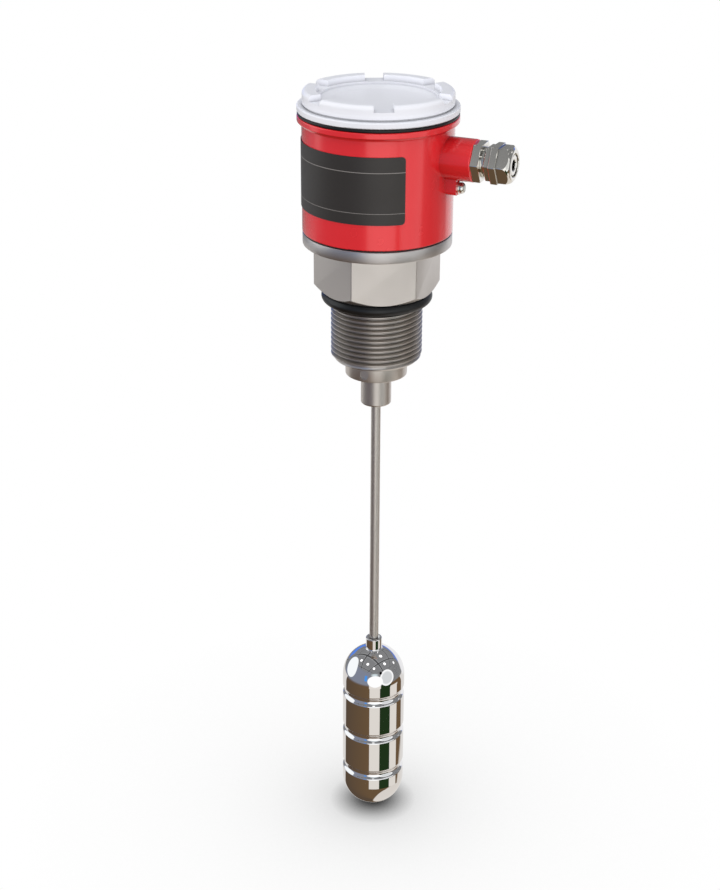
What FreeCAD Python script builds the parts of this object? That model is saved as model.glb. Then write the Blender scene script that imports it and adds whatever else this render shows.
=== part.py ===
import FreeCAD, Part
import math
import os
import Sketcher
from FreeCAD import Placement, Rotation, Vector

# A pivoted-arm magnetic float switch, in millimetres. +Z is up, along the connector's axis.
# The origin is on that axis where the pipe thread begins, under the sealing ring.
# The cable gland points along +X, and the arm swings about Y, in the XZ plane.

ROOT3 = math.sqrt(3.0)
X_AXIS = Vector(1, 0, 0)
Y_AXIS = Vector(0, 1, 0)
Z_AXIS = Vector(0, 0, 1)

# Driving dimensions: alias, value, what it is
DIMENSIONS = [
    # connector
    ("thread_radius", 20.955, "outer radius of the G1 1/4 pipe thread"),
    ("thread_length", 27.7, "thread wall, from the sealing plane to its end"),
    ("thread_tip_radius", 19.0, "radius of the thread's lead-in at its end"),
    ("thread_lead", 1.9, "height of the lead-in"),
    ("thread_grooves", 11, "number of grooves along the thread wall"),
    ("thread_groove_width", 1.7, "width of a groove between two crests"),
    ("thread_groove_depth", 1.3, "depth of a groove"),
    ("undercut_radius", 20.0, "undercut that holds the sealing ring"),
    ("seal_section", 5.3, "thickness of the sealing ring"),
    ("hex_flats", 50.0, "connector hexagon across flats"),
    ("hex_height", 22.5, "height of the hexagon"),
    ("hex_chamfer_radius", 24.7, "radius where the hexagon's lower chamfer begins"),
    ("hex_chamfer_rise", 3.3, "how far the chamfer climbs at a corner"),
    ("flange_inset", 0.1, "flange over the hexagon, inside the housing's wall"),
    ("flange_thickness", 5.2, "thickness of that flange"),
    ("flange_round", 1.0, "rounding of the flange's lower edge"),
    ("collar_radius", 14.3, "collar that carries the pivot pin"),
    ("collar_length", 7.8, "collar below the thread's end"),
    ("collar_round", 1.1, "rounding of the collar's lower edge"),
    ("bore_radius", 9.0, "wet bore that the hub swings in"),
    ("pocket_radius", 8.5, "dry pocket above the pressure web"),
    ("web_thickness", 3.0, "pressure web between bore and pocket"),
    ("web_top", 1.0, "height of the web's upper face"),
    ("spigot_radius", 11.0, "spigot that goes through the housing floor"),
    ("spigot_height", 11.1, "spigot above the flange"),
    ("locknut_flats", 28.0, "lock nut across flats"),
    ("locknut_height", 5.0, "lock nut height"),
    # housing
    ("gasket_thickness", 0.6, "gasket between flange and housing"),
    ("housing_radius", 33.7, "outer radius of the housing"),
    ("housing_wall", 4.0, "housing side wall"),
    ("housing_floor", 3.7, "housing floor"),
    ("housing_height", 52.1, "housing from its base to the seal"),
    ("rim_overhang", 2.05, "rims of housing and lid beyond the housing's wall"),
    ("rim_height", 2.7, "height of the housing rim"),
    ("rim_fillet", 1.4, "fillet under the housing rim"),
    ("rim_round", 0.5, "rounding of the rim's edges"),
    ("floor_fillet", 1.0, "fillet between floor and wall inside"),
    ("entry_drop", 15.9, "cable entry's axis below the housing's top"),
    ("entry_boss_length", 12.4, "cable boss's end beyond the housing's wall"),
    ("entry_boss_radius", 9.35, "radius of the cable boss"),
    ("entry_boss_round", 0.5, "rounding of the cable boss's end"),
    ("earth_boss_drop", 6.25, "outer earth boss below the cable boss"),
    ("earth_boss_sink", 1.9, "how far it goes up into the cable boss"),
    ("earth_boss_width", 8.2, "width of the outer earth boss"),
    ("earth_boss_length", 4.75, "its face beyond the housing's wall"),
    ("earth_boss_round", 1.4, "rounding of its two lower edges"),
    ("earth_washer_gap", 0.3, "gap between the earth washer and the cable boss"),
    ("plate_height", 29.7, "height of the rating plate"),
    ("plate_rise", 11.7, "plate's lower edge above the housing's base"),
    ("plate_start", 179.0, "angle where the plate begins, about +Z from +X"),
    ("plate_angle", 134.4, "angle that the plate wraps"),
    ("plate_thickness", 0.35, "thickness of the plate"),
    ("plate_corner", 1.8, "corner rounding of the plate"),
    # lid
    ("seal_thickness", 1.7, "lid seal between the two rims"),
    ("seal_width", 4.4, "radial width of the lid seal"),
    ("seal_recess", 0.15, "how far the lid seal stays inside the rims"),
    ("lid_rim_height", 2.7, "height of the lid's rim"),
    ("crown_inset", 2.35, "lid's crown inside its rim"),
    ("crown_height", 6.6, "height of the crown over the rim"),
    ("crown_round", 2.0, "rounding of the crown's outer edge"),
    ("crown_groove", 0.8, "small groove at the crown's foot"),
    ("crown_wall", 6.1, "radial width of the crown"),
    ("notch_width", 8.6, "width of a spanner notch"),
    ("notch_depth", 2.7, "depth of a spanner notch"),
    ("notch_count", 6, "number of spanner notches"),
    ("notch_turn", -2.8, "turn of the notches about the axis, in degrees"),
    ("recess_ledge", 1.75, "ledge between the crown and the recess"),
    ("recess_depth", 4.7, "depth of the lid's recess"),
    ("recess_slope_rise", 1.0, "rise of the slope round the recess's floor"),
    ("recess_slope_width", 4.9, "radial width of that slope"),
    ("lid_plate", 2.4, "thickness of the lid's plate under the recess"),
    ("lid_skirt_length", 9.0, "threaded skirt of the lid"),
    ("lid_skirt_wall", 3.0, "wall of that skirt"),
    ("lid_thread_gap", 0.3, "radial gap between skirt and housing"),
    # pivot and hub
    ("pin_radius", 2.0, "pivot pin"),
    ("pin_drop", 4.3, "pin axis below the thread's end"),
    ("pin_inset", 0.4, "how far the pin's ends stay inside the collar"),
    ("hub_radius", 7.1, "hub that hangs from the pin"),
    ("hub_bottom", 50.7, "hub's lower end below the origin"),
    ("hub_round", 0.9, "rounding of the hub's lower edge"),
    ("hub_shoulder", 5.0, "hub's shoulder above the pin"),
    ("hub_flats", 12.6, "hub across the two flats beside the pin"),
    ("stub_radius", 4.0, "stub above the hub's shoulder"),
    ("stub_gap", 2.2, "gap between stub and pressure web"),
    ("arm_magnet_radius", 3.0, "magnet in the stub"),
    ("arm_magnet_length", 6.0, "length of that magnet"),
    ("washer_radius", 3.4, "thrust washers beside the hub"),
    # rod and float
    ("rod_radius", 2.25, "rod between hub and float"),
    ("rod_seat", 10.0, "depth of the rod in the hub"),
    ("float_radius", 15.4, "outer radius of the float"),
    ("float_bottom", 273.8, "float's lowest point below the origin"),
    ("float_length", 90.5, "float from dome to dome"),
    ("float_wall", 0.8, "wall of the float"),
    ("groove_pitch", 21.7, "spacing of the rolled grooves"),
    ("groove_width", 4.6, "width of a groove"),
    ("groove_depth", 1.15, "depth of a groove"),
    ("groove_round", 1.1, "rounding of a groove's edges"),
    ("neck_radius", 4.0, "neck on top of the float"),
    ("neck_height", 6.3, "neck above the float's flat land"),
    ("neck_flare", 0.7, "fillet at the neck's foot"),
    ("neck_spigot_radius", 3.1, "spigot of the neck inside the float"),
    ("neck_spigot_length", 8.0, "length of that spigot"),
    ("neck_recess_radius", 3.05, "recess round the rod"),
    ("neck_recess_depth", 0.9, "depth of that recess"),
    # cable gland, measured outward from the cable boss
    ("gland_thread_radius", 6.25, "thread that screws into the cable boss"),
    ("gland_thread_length", 9.0, "length of that thread"),
    ("gland_hex_flats", 16.4, "gland hexagons across flats"),
    ("gland_body_hex", 3.7, "length of the body's hexagon"),
    ("gland_corner_round", 0.25, "rounding of the hexagons' long edges"),
    ("gland_shoulder_radius", 6.6, "shoulder between body and nut"),
    ("gland_shoulder_length", 1.5, "length of that shoulder"),
    ("gland_front_radius", 5.9, "body's front thread under the nut"),
    ("gland_front_length", 7.0, "length of that front thread"),
    ("gland_bore_radius", 3.6, "bore through the gland body"),
    ("gland_seal_radius", 4.7, "outer radius of the rubber seal"),
    ("gland_seal_length", 7.0, "length of the rubber seal"),
    ("gland_seal_proud", 1.4, "how far the seal stands out of the body"),
    ("cable_radius", 2.25, "bore of the rubber seal, for the cable"),
    ("nut_gap", 0.5, "gap between body shoulder and nut"),
    ("nut_thread_gap", 0.3, "radial gap between the nut and what turns in it"),
    ("nut_back_flats", 14.4, "nut's rear hexagon across flats"),
    ("nut_back_length", 2.5, "length of the rear hexagon"),
    ("nut_hex_length", 3.2, "length of the nut's main hexagon"),
    ("nut_front_flats", 15.2, "nut's front hexagon across flats"),
    ("nut_front_length", 5.9, "length from the main hexagon to the mouth"),
    ("nut_dome_radius", 8.8, "radius where the nut's dome begins"),
    ("nut_dome_length", 2.8, "length of the dome along the axis"),
    ("nut_dome_bulge", 5.0, "radius of the dome's curve"),
    ("nut_face_radius", 6.2, "radius of the nut's front face"),
    ("nut_lip", 2.6, "lip that holds the slip ring"),
    ("nut_mouth_radius", 5.1, "mouth of the nut"),
    ("nut_mouth_chamfer", 0.3, "chamfer at the mouth"),
    ("slip_ring_bore", 2.4, "bore of the slip ring"),
    ("slip_ring_recess", 0.35, "slip ring's face behind the nut's mouth"),
    ("gland_washer_thickness", 1.0, "sealing washer in the cable boss"),
    ("gland_washer_radius", 7.4, "outer radius of that washer"),
    # earth terminals
    ("earth_head_radius", 2.5, "head of an earth screw"),
    ("earth_head_height", 2.2, "height of that head"),
    ("earth_head_round", 1.4, "rounding of that head"),
    ("earth_shank_radius", 1.75, "shank of an earth screw"),
    ("earth_shank_length", 5.0, "length of that shank"),
    ("earth_slot", 0.7, "width of a screw's slot"),
    ("earth_slot_depth", 1.0, "depth of an earth screw's slot"),
    ("earth_washer_thickness", 0.5, "washer under the outer earth screw"),
    ("earth_washer_radius", 3.1, "outer radius of that washer"),
    ("inner_earth_inset", 7.7, "inner earth pillar's axis inside the housing's inner wall"),
    ("inner_earth_radius", 4.0, "radius of the inner earth pillar"),
    ("inner_earth_height", 5.0, "height of the inner earth pillar"),
    # switch mechanism
    ("bracket_sheet", 1.5, "sheet of the switch bracket"),
    ("bracket_nut_gap", 0.5, "gap between lock nut and bracket"),
    ("bracket_shelf_gap", 0.8, "gap between spigot and the bracket's shelf"),
    ("cheek_height", 25.0, "bracket's cheeks above its shelf"),
    ("cheek_back", 7.0, "cheeks behind the lever's pin"),
    ("switch_width", 6.4, "microswitch, along Y"),
    ("switch_depth", 10.0, "microswitch, along X"),
    ("switch_height", 20.0, "microswitch, along Z"),
    ("switch_offset", 4.1, "microswitch in front of the lever's pin"),
    ("switch_drop", 1.0, "microswitch's lower end below the lever's pin"),
    ("lever_pin_rise", 4.1, "lever's pin above the bracket's shelf"),
    ("lever_pin_radius", 1.25, "lever's pin"),
    ("lever_pin_head", 2.0, "radius of the pin's head"),
    ("lever_pin_head_height", 0.75, "height of the pin's head"),
    ("lever_hub_radius", 2.9, "lever's hub"),
    ("lever_width", 3.0, "lever's arms, along X"),
    ("lever_sheet", 4.0, "lever's arms, along Y"),
    ("lever_tip", 10.0, "lever's tip above its pin"),
    ("lever_cup_radius", 3.0, "cup that holds the lever's magnet"),
    ("lever_cup_height", 6.5, "height of that cup"),
    ("lever_cup_gap", 1.5, "gap between cup and pressure web"),
    ("lever_magnet_radius", 2.0, "lever's magnet"),
    ("lever_magnet_length", 4.0, "length of that magnet"),
    ("plunger_height", 8.0, "plunger above the lever's pin"),
    ("plunger_radius", 1.0, "switch plunger"),
    ("plunger_inside", 2.2, "plunger inside the microswitch"),
    ("plunger_well", 3.6, "depth of the plunger's hole"),
    ("plunger_gap", 0.35, "gap between lever and plunger"),
    ("tab_length", 4.2, "solder tabs of the microswitch"),
    ("tab_width", 2.8, "width of a tab"),
    ("tab_sheet", 0.6, "thickness of a tab"),
    ("tab_pitch", 6.8, "spacing of the tabs"),
    ("switch_screw_radius", 1.0, "screws through the microswitch"),
    ("switch_screw_head", 1.9, "heads of those screws"),
    ("switch_screw_pitch", 12.6, "spacing of those screws"),
    # terminal block
    ("block_bracket_gap", 0.5, "gap between the bracket and the terminal block"),
    ("block_corner_gap", 0.1, "gap between the block's outer corners and the floor's fillet"),
    ("block_height", 12.0, "terminal block, along Z"),
    ("block_row_depth", 5.8, "raised row of the block, along X"),
    ("block_step_height", 4.0, "height of the block over that ledge"),
    ("pole_margin", 2.0, "outer pole's axis inside the raised row's end"),
    ("pole_screw_radius", 1.7, "terminal screws"),
    ("pole_screw_height", 2.5, "height of a terminal screw"),
    ("pole_well_depth", 3.6, "depth of a terminal screw's well"),
    ("pole_slot_depth", 0.75, "depth of a terminal screw's slot"),
    ("block_ear", 4.0, "ends of the block left low for its screws"),
    ("wire_hole_radius", 0.95, "wire entries of the block"),
    ("wire_hole_depth", 4.0, "depth of a wire entry"),
    ("block_screw_radius", 1.0, "screws that hold the block"),
    ("block_screw_head", 1.8, "heads of those screws"),
    ("block_screw_head_height", 1.45, "height of those heads"),
    ("block_screw_spacing", 18.0, "distance between them"),
    ("block_screw_margin", 2.0, "block's end beyond a screw's axis"),
    ("block_screw_bite", 2.4, "how far they go into the housing floor"),
    # clearances
    ("cutter_margin", 2.0, "how far a cut goes on past the surface it opens"),
    ("fixed_fit", 0.02, "radial clearance of a fit that doesn't move"),
    ("running_fit", 0.05, "radial clearance of a turning or sliding fit"),
    ("face_gap", 0.05, "gap between faces that part or turn"),
    ("side_gap", 0.15, "gap beside a swinging piece"),
]

doc = FreeCAD.newDocument("float_switch")
sheet = doc.addObject("Spreadsheet::Sheet", "Sizes")
for row, (alias, value, meaning) in enumerate(DIMENSIONS, start=1):
    sheet.set("A%d" % row, meaning)
    sheet.set("B%d" % row, str(value))
    sheet.setAlias("B%d" % row, alias)
doc.recompute()


class Size:
    """A number in millimetres together with the sheet formula that gives it."""

    def __init__(self, number, formula):
        self.number = number
        self.formula = formula

    @staticmethod
    def of(value):
        return value if isinstance(value, Size) else Size(float(value), repr(float(value)))

    def joined(self, other, sign, number):
        return Size(number, "(%s %s %s)" % (self.formula, sign, other.formula))

    def __add__(self, other):
        other = Size.of(other)
        return self.joined(other, "+", self.number + other.number)

    def __sub__(self, other):
        other = Size.of(other)
        return self.joined(other, "-", self.number - other.number)

    def __mul__(self, other):
        other = Size.of(other)
        return self.joined(other, "*", self.number * other.number)

    def __truediv__(self, other):
        other = Size.of(other)
        return self.joined(other, "/", self.number / other.number)

    def __neg__(self):
        return Size(-self.number, "(0 - %s)" % self.formula)

    def __radd__(self, other):
        return Size.of(other) + self

    def __rsub__(self, other):
        return Size.of(other) - self

    def __rmul__(self, other):
        return Size.of(other) * self

    def root(self):
        """The square root of this size."""
        return Size(math.sqrt(self.number), "sqrt(%s)" % self.formula)


class Dimensions:
    """The sheet's cells, by alias."""

    def __getattr__(self, alias):
        return Size(float(sheet.get(alias)), "Sizes.%s" % alias)


d = Dimensions()
ZERO = Size(0.0, "0")


def bind(obj, path, size):
    """Set one property of an object from a size, as a formula."""
    obj.setExpression(path, Size.of(size).formula)


def place(obj, x=ZERO, y=ZERO, z=ZERO, rotation=None):
    """Put an object at sizes x, y, z, turned by a rotation if one is given."""
    x, y, z = Size.of(x), Size.of(y), Size.of(z)
    obj.Placement = Placement(Vector(x.number, y.number, z.number), rotation or Rotation())
    for axis, size in (("x", x), ("y", y), ("z", z)):
        if size.formula != "0":
            bind(obj, "Placement.Base.%s" % axis, size)


def new_body(label, x=ZERO, y=ZERO, z=ZERO):
    """An empty body whose label is the name of its piece."""
    body = doc.addObject("PartDesign::Body", label)
    body.Label = label
    place(body, x, y, z)
    return body


def new_sketch(body, name, role, offset=ZERO):
    """A sketch on one of the body's own origin planes, moved along the plane's normal."""
    sketch = body.newObject("Sketcher::SketchObject", name)
    plane = [item for item in body.Origin.OriginFeatures if item.Role == role][0]
    sketch.AttachmentSupport = [(plane, "")]
    sketch.MapMode = "FlatFace"
    offset = Size.of(offset)
    if offset.formula != "0":
        sketch.AttachmentOffset = Placement(Vector(0, 0, offset.number), Rotation())
        bind(sketch, "AttachmentOffset.Base.z", offset)
    return sketch


def fix_point(sketch, geometry, end, x, y):
    """Tie one end of a sketch line or arc to its distances from the sketch's origin."""
    for kind, size in (("DistanceX", x), ("DistanceY", y)):
        size = Size.of(size)
        index = sketch.addConstraint(Sketcher.Constraint(kind, -1, 1, geometry, end, size.number))
        bind(sketch, "Constraints[%d]" % index, size)


class Bulge:
    """An arc between two corners of an outline: turn is 1 anticlockwise, -1 clockwise."""

    def __init__(self, radius, turn):
        self.radius = Size.of(radius)
        self.turn = turn


def rounded(corners):
    """Swap each corner that has a rounding for the arc's two ends and a Bulge.

    The two sides of such a corner are parallel to the sketch's axes.
    """
    points = [corner for corner in corners if not isinstance(corner, Bulge)]
    result = []
    for corner in corners:
        if isinstance(corner, Bulge) or len(corner) == 2:
            result.append(corner)
            continue
        place_in_row = points.index(corner)
        before = points[place_in_row - 1]
        after = points[(place_in_row + 1) % len(points)]
        x, y, radius = (Size.of(value) for value in corner)
        ends = []
        ways = []
        for other in (before, after):
            across = Size.of(other[0]).number - x.number
            along = Size.of(other[1]).number - y.number
            way = (math.copysign(1, across), 0) if abs(across) > abs(along) else (0, math.copysign(1, along))
            ways.append(way)
            ends.append((x + radius * way[0] if way[0] else x, y + radius * way[1] if way[1] else y))
        cross = -ways[0][0] * ways[1][1] + ways[0][1] * ways[1][0]
        result += [ends[0], Bulge(radius, math.copysign(1, cross)), ends[1]]
    return result


def arc_between(start, end, bulge):
    """The short arc from start to end with the bulge's radius and turn."""
    chord = end - start
    radius = bulge.radius.number
    height = math.sqrt(max(radius ** 2 - (chord.Length / 2) ** 2, 0.0))
    side = Vector(-chord.y, chord.x, 0).normalize() * bulge.turn
    centre = (start + end) * 0.5 + side * height
    angles = [math.atan2(point.y - centre.y, point.x - centre.x) for point in (start, end)]
    if bulge.turn < 0:
        angles.reverse()
    circle = Part.Circle(centre, Vector(0, 0, 1), radius)
    return Part.ArcOfCircle(circle, angles[0], angles[1])


def draw_outline(sketch, corners):
    """Draw a closed outline through corners, with arcs where a Bulge stands between two."""
    steps = rounded(corners)
    points = []
    bulges = {}
    for step in steps:
        if isinstance(step, Bulge):
            bulges[len(points) - 1] = step
        else:
            points.append([Size.of(value) for value in step])
    spots = [Vector(x.number, y.number, 0) for x, y in points]
    ends = []
    for index, (start, end) in enumerate(zip(spots, spots[1:] + spots[:1])):
        bulge = bulges.get(index)
        if bulge:
            geometry = sketch.addGeometry(arc_between(start, end, bulge), False)
            ends.append((geometry, 1, 2) if bulge.turn > 0 else (geometry, 2, 1))
        else:
            geometry = sketch.addGeometry(Part.LineSegment(start, end), False)
            ends.append((geometry, 1, 2))
    for index, (geometry, first, last) in enumerate(ends):
        following = ends[(index + 1) % len(ends)]
        sketch.addConstraint(Sketcher.Constraint("Coincident", geometry, last, following[0], following[1]))
    for index, (geometry, first, last) in enumerate(ends):
        fix_point(sketch, geometry, first, *points[index])
        bulge = bulges.get(index)
        if bulge:
            name = sketch.addConstraint(Sketcher.Constraint("Radius", geometry, bulge.radius.number))
            bind(sketch, "Constraints[%d]" % name, bulge.radius)


def draw_circle(sketch, x, y, radius):
    """Draw a circle tied to sizes."""
    x, y, radius = (Size.of(value) for value in (x, y, radius))
    circle = Part.Circle(Vector(x.number, y.number, 0), Vector(0, 0, 1), radius.number)
    geometry = sketch.addGeometry(circle, False)
    fix_point(sketch, geometry, 3, x, y)
    index = sketch.addConstraint(Sketcher.Constraint("Radius", geometry, radius.number))
    bind(sketch, "Constraints[%d]" % index, radius)


def box_corners(x_low, x_high, y_low, y_high):
    """The four corners of a rectangle."""
    return [(x_low, y_low), (x_high, y_low), (x_high, y_high), (x_low, y_high)]


def hexagon_corners(flats, upright):
    """A hexagon's corners about the origin.

    With upright its corners lie on the sketch's Y axis, otherwise on the X axis.
    """
    half = flats / 2
    corner = flats / ROOT3
    if upright:
        return [(ZERO, corner), (-half, corner / 2), (-half, -corner / 2),
                (ZERO, -corner), (half, -corner / 2), (half, corner / 2)]
    return [(corner, ZERO), (corner / 2, half), (-corner / 2, half),
            (-corner, ZERO), (-corner / 2, -half), (corner / 2, -half)]


def turn_solid(body, name, corners, axis="V_Axis", angle=360, role="XZ_Plane"):
    """Revolve an outline about one of its sketch's axes and add it to the body."""
    sketch = new_sketch(body, name + "Profile", role)
    draw_outline(sketch, corners)
    feature = body.newObject("PartDesign::Revolution", name)
    feature.Profile = sketch
    feature.ReferenceAxis = (sketch, [axis])
    feature.Angle = Size.of(angle).number
    bind(feature, "Angle", angle)
    sketch.Visibility = False
    return feature


def turn_cut(body, name, corners, axis="V_Axis"):
    """Revolve an outline about one of its sketch's axes and take it from the body."""
    sketch = new_sketch(body, name + "Profile", "XZ_Plane")
    draw_outline(sketch, corners)
    feature = body.newObject("PartDesign::Groove", name)
    feature.Profile = sketch
    feature.ReferenceAxis = (sketch, [axis])
    feature.Angle = 360
    return feature


def pad(body, name, sketch, length, midplane=False, reverse=False):
    """Pad a sketch by a length."""
    feature = body.newObject("PartDesign::Pad", name)
    feature.Profile = sketch
    feature.Midplane = midplane
    feature.Reversed = reverse
    feature.Length = Size.of(length).number
    bind(feature, "Length", length)
    return feature


def pocket(body, name, sketch, length, midplane=False, reverse=False):
    """Cut a sketch into the body by a length, against the sketch's normal."""
    feature = body.newObject("PartDesign::Pocket", name)
    feature.Profile = sketch
    feature.Midplane = midplane
    feature.Reversed = reverse
    feature.Length = Size.of(length).number
    bind(feature, "Length", length)
    return feature


def edges_where(feature, test):
    """The names of a feature's edges that pass a test."""
    doc.recompute()
    return ["Edge%d" % (index + 1) for index, edge in enumerate(feature.Shape.Edges) if test(edge)]


def is_circle(edge, radius, centre):
    """Whether an edge is part of a circle with this radius and centre."""
    if edge.Degenerated:
        return False
    curve = edge.Curve
    return (isinstance(curve, Part.Circle) and abs(curve.Radius - Size.of(radius).number) < 1e-4
            and (curve.Center - centre).Length < 1e-4)


def fillet(body, name, feature, edges, radius):
    """Round some edges of the body's last feature."""
    result = body.newObject("PartDesign::Fillet", name)
    result.Base = (feature, edges)
    result.Radius = Size.of(radius).number
    bind(result, "Radius", radius)
    return result


def bevel_hexagon(body, name, flats, end, way, axis="H_Axis"):
    """Turn a hexagon's corners off at 30 degrees, from the circle inside its flats.

    The end is a station along the axis, and way is 1 where the hexagon lies before it, -1 behind.
    """
    inner = flats / 2
    outer = flats / ROOT3 + d.cutter_margin
    stations = [(end, inner), (end, outer), (end - (outer - inner) / ROOT3 * way, outer)]
    if axis == "V_Axis":
        stations = [(radius, station) for station, radius in stations]
    return turn_cut(body, name, stations, axis=axis)


def cylinder(name, radius, height, x=ZERO, y=ZERO, z=ZERO, rotation=None):
    """A cylinder whose base centre is at x, y, z."""
    item = doc.addObject("Part::Cylinder", name)
    bind(item, "Radius", radius)
    bind(item, "Height", height)
    place(item, x, y, z, rotation)
    return item


def box(name, length, width, height, x, y, z):
    """A box whose lowest corner is at x, y, z."""
    item = doc.addObject("Part::Box", name)
    bind(item, "Length", length)
    bind(item, "Width", width)
    bind(item, "Height", height)
    place(item, x, y, z)
    return item


def cut(name, base, tool):
    """One solid taken from another."""
    item = doc.addObject("Part::Cut", name)
    item.Base = base
    item.Tool = tool
    return item


def fuse(name, pieces):
    """Several solids joined to one."""
    item = doc.addObject("Part::MultiFuse", name)
    item.Shapes = pieces
    return item


def group(name, pieces):
    """Several separate solids kept as one piece."""
    item = doc.addObject("Part::Compound", name)
    item.Links = pieces
    return item


def ring(name, outer, inner, height, x=ZERO, y=ZERO, z=ZERO, rotation=None):
    """A flat ring whose lower face is centred at x, y, z."""
    outside = cylinder(name + "_outside", outer, height, x, y, z, rotation)
    inside = cylinder(name + "_inside", inner, height, x, y, z, rotation)
    return cut(name, outside, inside)


TO_X = Rotation(Y_AXIS, 90)
TO_Y = Rotation(X_AXIS, -90)
TO_MINUS_Y = Rotation(X_AXIS, 90)


# Levels along the connector's axis
thread_end = -d.thread_length
collar_end = thread_end - d.collar_length
hex_bottom = d.seal_section
flange_bottom = hex_bottom + d.hex_height
flange_top = flange_bottom + d.flange_thickness
housing_base = flange_top + d.gasket_thickness
floor_top = housing_base + d.housing_floor
housing_top = housing_base + d.housing_height
spigot_top = flange_top + d.spigot_height
pin_level = thread_end - d.pin_drop
web_bottom = d.web_top - d.web_thickness
hex_corner = d.hex_flats / ROOT3

# Radii that go with the housing's wall
chamber_radius = d.housing_radius - d.housing_wall
flange_radius = d.housing_radius - d.flange_inset
rim_radius = d.housing_radius + d.rim_overhang
crown_radius = rim_radius - d.crown_inset

# The terminal block stands between the bracket and the wall, the inner earth pillar across from it
bracket_depth = d.locknut_flats
block_inner = bracket_depth / 2 + d.block_bracket_gap
block_half = d.block_screw_spacing / 2 + d.block_screw_margin
block_corner = chamber_radius - d.floor_fillet - d.block_corner_gap
block_outer = (block_corner * block_corner - block_half * block_half).root()
block_row = block_outer - d.block_row_depth
block_screw_x = (block_inner + block_outer) / 2
inner_earth_x = d.inner_earth_inset - chamber_radius

# Levels and reaches on the housing's gland side
entry_level = housing_top - d.entry_drop
entry_end = d.housing_radius + d.entry_boss_length
boss_under = entry_level - d.entry_boss_radius
earth_face = d.housing_radius + d.earth_boss_length
earth_level = boss_under - d.earth_washer_gap - d.earth_washer_radius


def make_connector():
    """Turned stainless connector: spigot, flange, hexagon, thread and collar in one."""
    body = new_body("process_connector")
    hex_core = d.hex_flats / 2
    turn_solid(body, "Turned", [
        (ZERO, web_bottom),
        (d.bore_radius, web_bottom),
        (d.bore_radius, collar_end),
        (d.collar_radius, collar_end, d.collar_round),
        (d.collar_radius, thread_end),
        (d.thread_tip_radius, thread_end),
        (d.thread_radius, thread_end + d.thread_lead),
        (d.thread_radius, ZERO),
        (d.undercut_radius, ZERO),
        (d.undercut_radius, hex_bottom),
        (hex_core, hex_bottom),
        (hex_core, flange_bottom),
        (flange_radius, flange_bottom, d.flange_round),
        (flange_radius, flange_top),
        (d.spigot_radius, flange_top),
        (d.spigot_radius, spigot_top),
        (d.pocket_radius, spigot_top),
        (d.pocket_radius, d.web_top),
        (ZERO, d.web_top),
    ])
    hexagon = new_sketch(body, "Hexagon", "XY_Plane", hex_bottom)
    draw_outline(hexagon, hexagon_corners(d.hex_flats, upright=True))
    draw_circle(hexagon, ZERO, ZERO, d.undercut_radius)
    pad(body, "HexagonPad", hexagon, d.hex_height)
    slope = d.hex_chamfer_rise / (hex_corner - d.hex_chamfer_radius)
    clear_of_corner = hex_corner + d.cutter_margin
    turn_cut(body, "HexagonChamfer", [
        (d.hex_chamfer_radius, hex_bottom),
        (clear_of_corner, hex_bottom),
        (clear_of_corner, hex_bottom + (clear_of_corner - d.hex_chamfer_radius) * slope),
    ])
    hole = new_sketch(body, "PinHole", "XZ_Plane")
    draw_circle(hole, ZERO, pin_level, d.pin_radius + d.fixed_fit)
    pocket(body, "PinHolePocket", hole, (d.collar_radius + d.cutter_margin) * 2, midplane=True)
    cut_thread_grooves(body)
    return body


def cut_thread_grooves(body):
    """Cut a row of V grooves into the thread wall, with a crest left at either end."""
    wall = d.thread_length - d.thread_lead
    pitch = wall / d.thread_grooves
    first = -pitch / 2
    half = d.thread_groove_width / 2
    groove = turn_cut(body, "ThreadGroove", [
        (d.thread_radius, first - half),
        (d.thread_radius, first + half),
        (d.thread_radius - d.thread_groove_depth, first),
    ])
    row = body.newObject("PartDesign::LinearPattern", "ThreadGrooves")
    row.Originals = [groove]
    row.Direction = (groove.Profile[0], ["V_Axis"])
    row.Reversed = True
    row.Length = (wall - pitch).number
    bind(row, "Length", wall - pitch)
    bind(row, "Occurrences", d.thread_grooves)
    body.Tip = row


def make_process_seal():
    """Black sealing ring in the undercut, against the hexagon."""
    seal = doc.addObject("Part::Torus", "process_seal")
    bind(seal, "Radius1", d.undercut_radius + d.fixed_fit + d.seal_section / 2)
    bind(seal, "Radius2", d.seal_section / 2)
    place(seal, z=d.seal_section / 2)
    return seal


def make_locknut():
    """Lock nut on the spigot, over the bracket's foot."""
    body = new_body("connector_locknut", z=floor_top + d.bracket_sheet)
    outline = new_sketch(body, "Nut", "XY_Plane")
    draw_outline(outline, hexagon_corners(d.locknut_flats, upright=True))
    draw_circle(outline, ZERO, ZERO, d.spigot_radius + d.fixed_fit)
    pad(body, "NutPad", outline, d.locknut_height)
    bevel_hexagon(body, "NutChamfer", d.locknut_flats, d.locknut_height, 1, axis="V_Axis")
    return body


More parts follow.
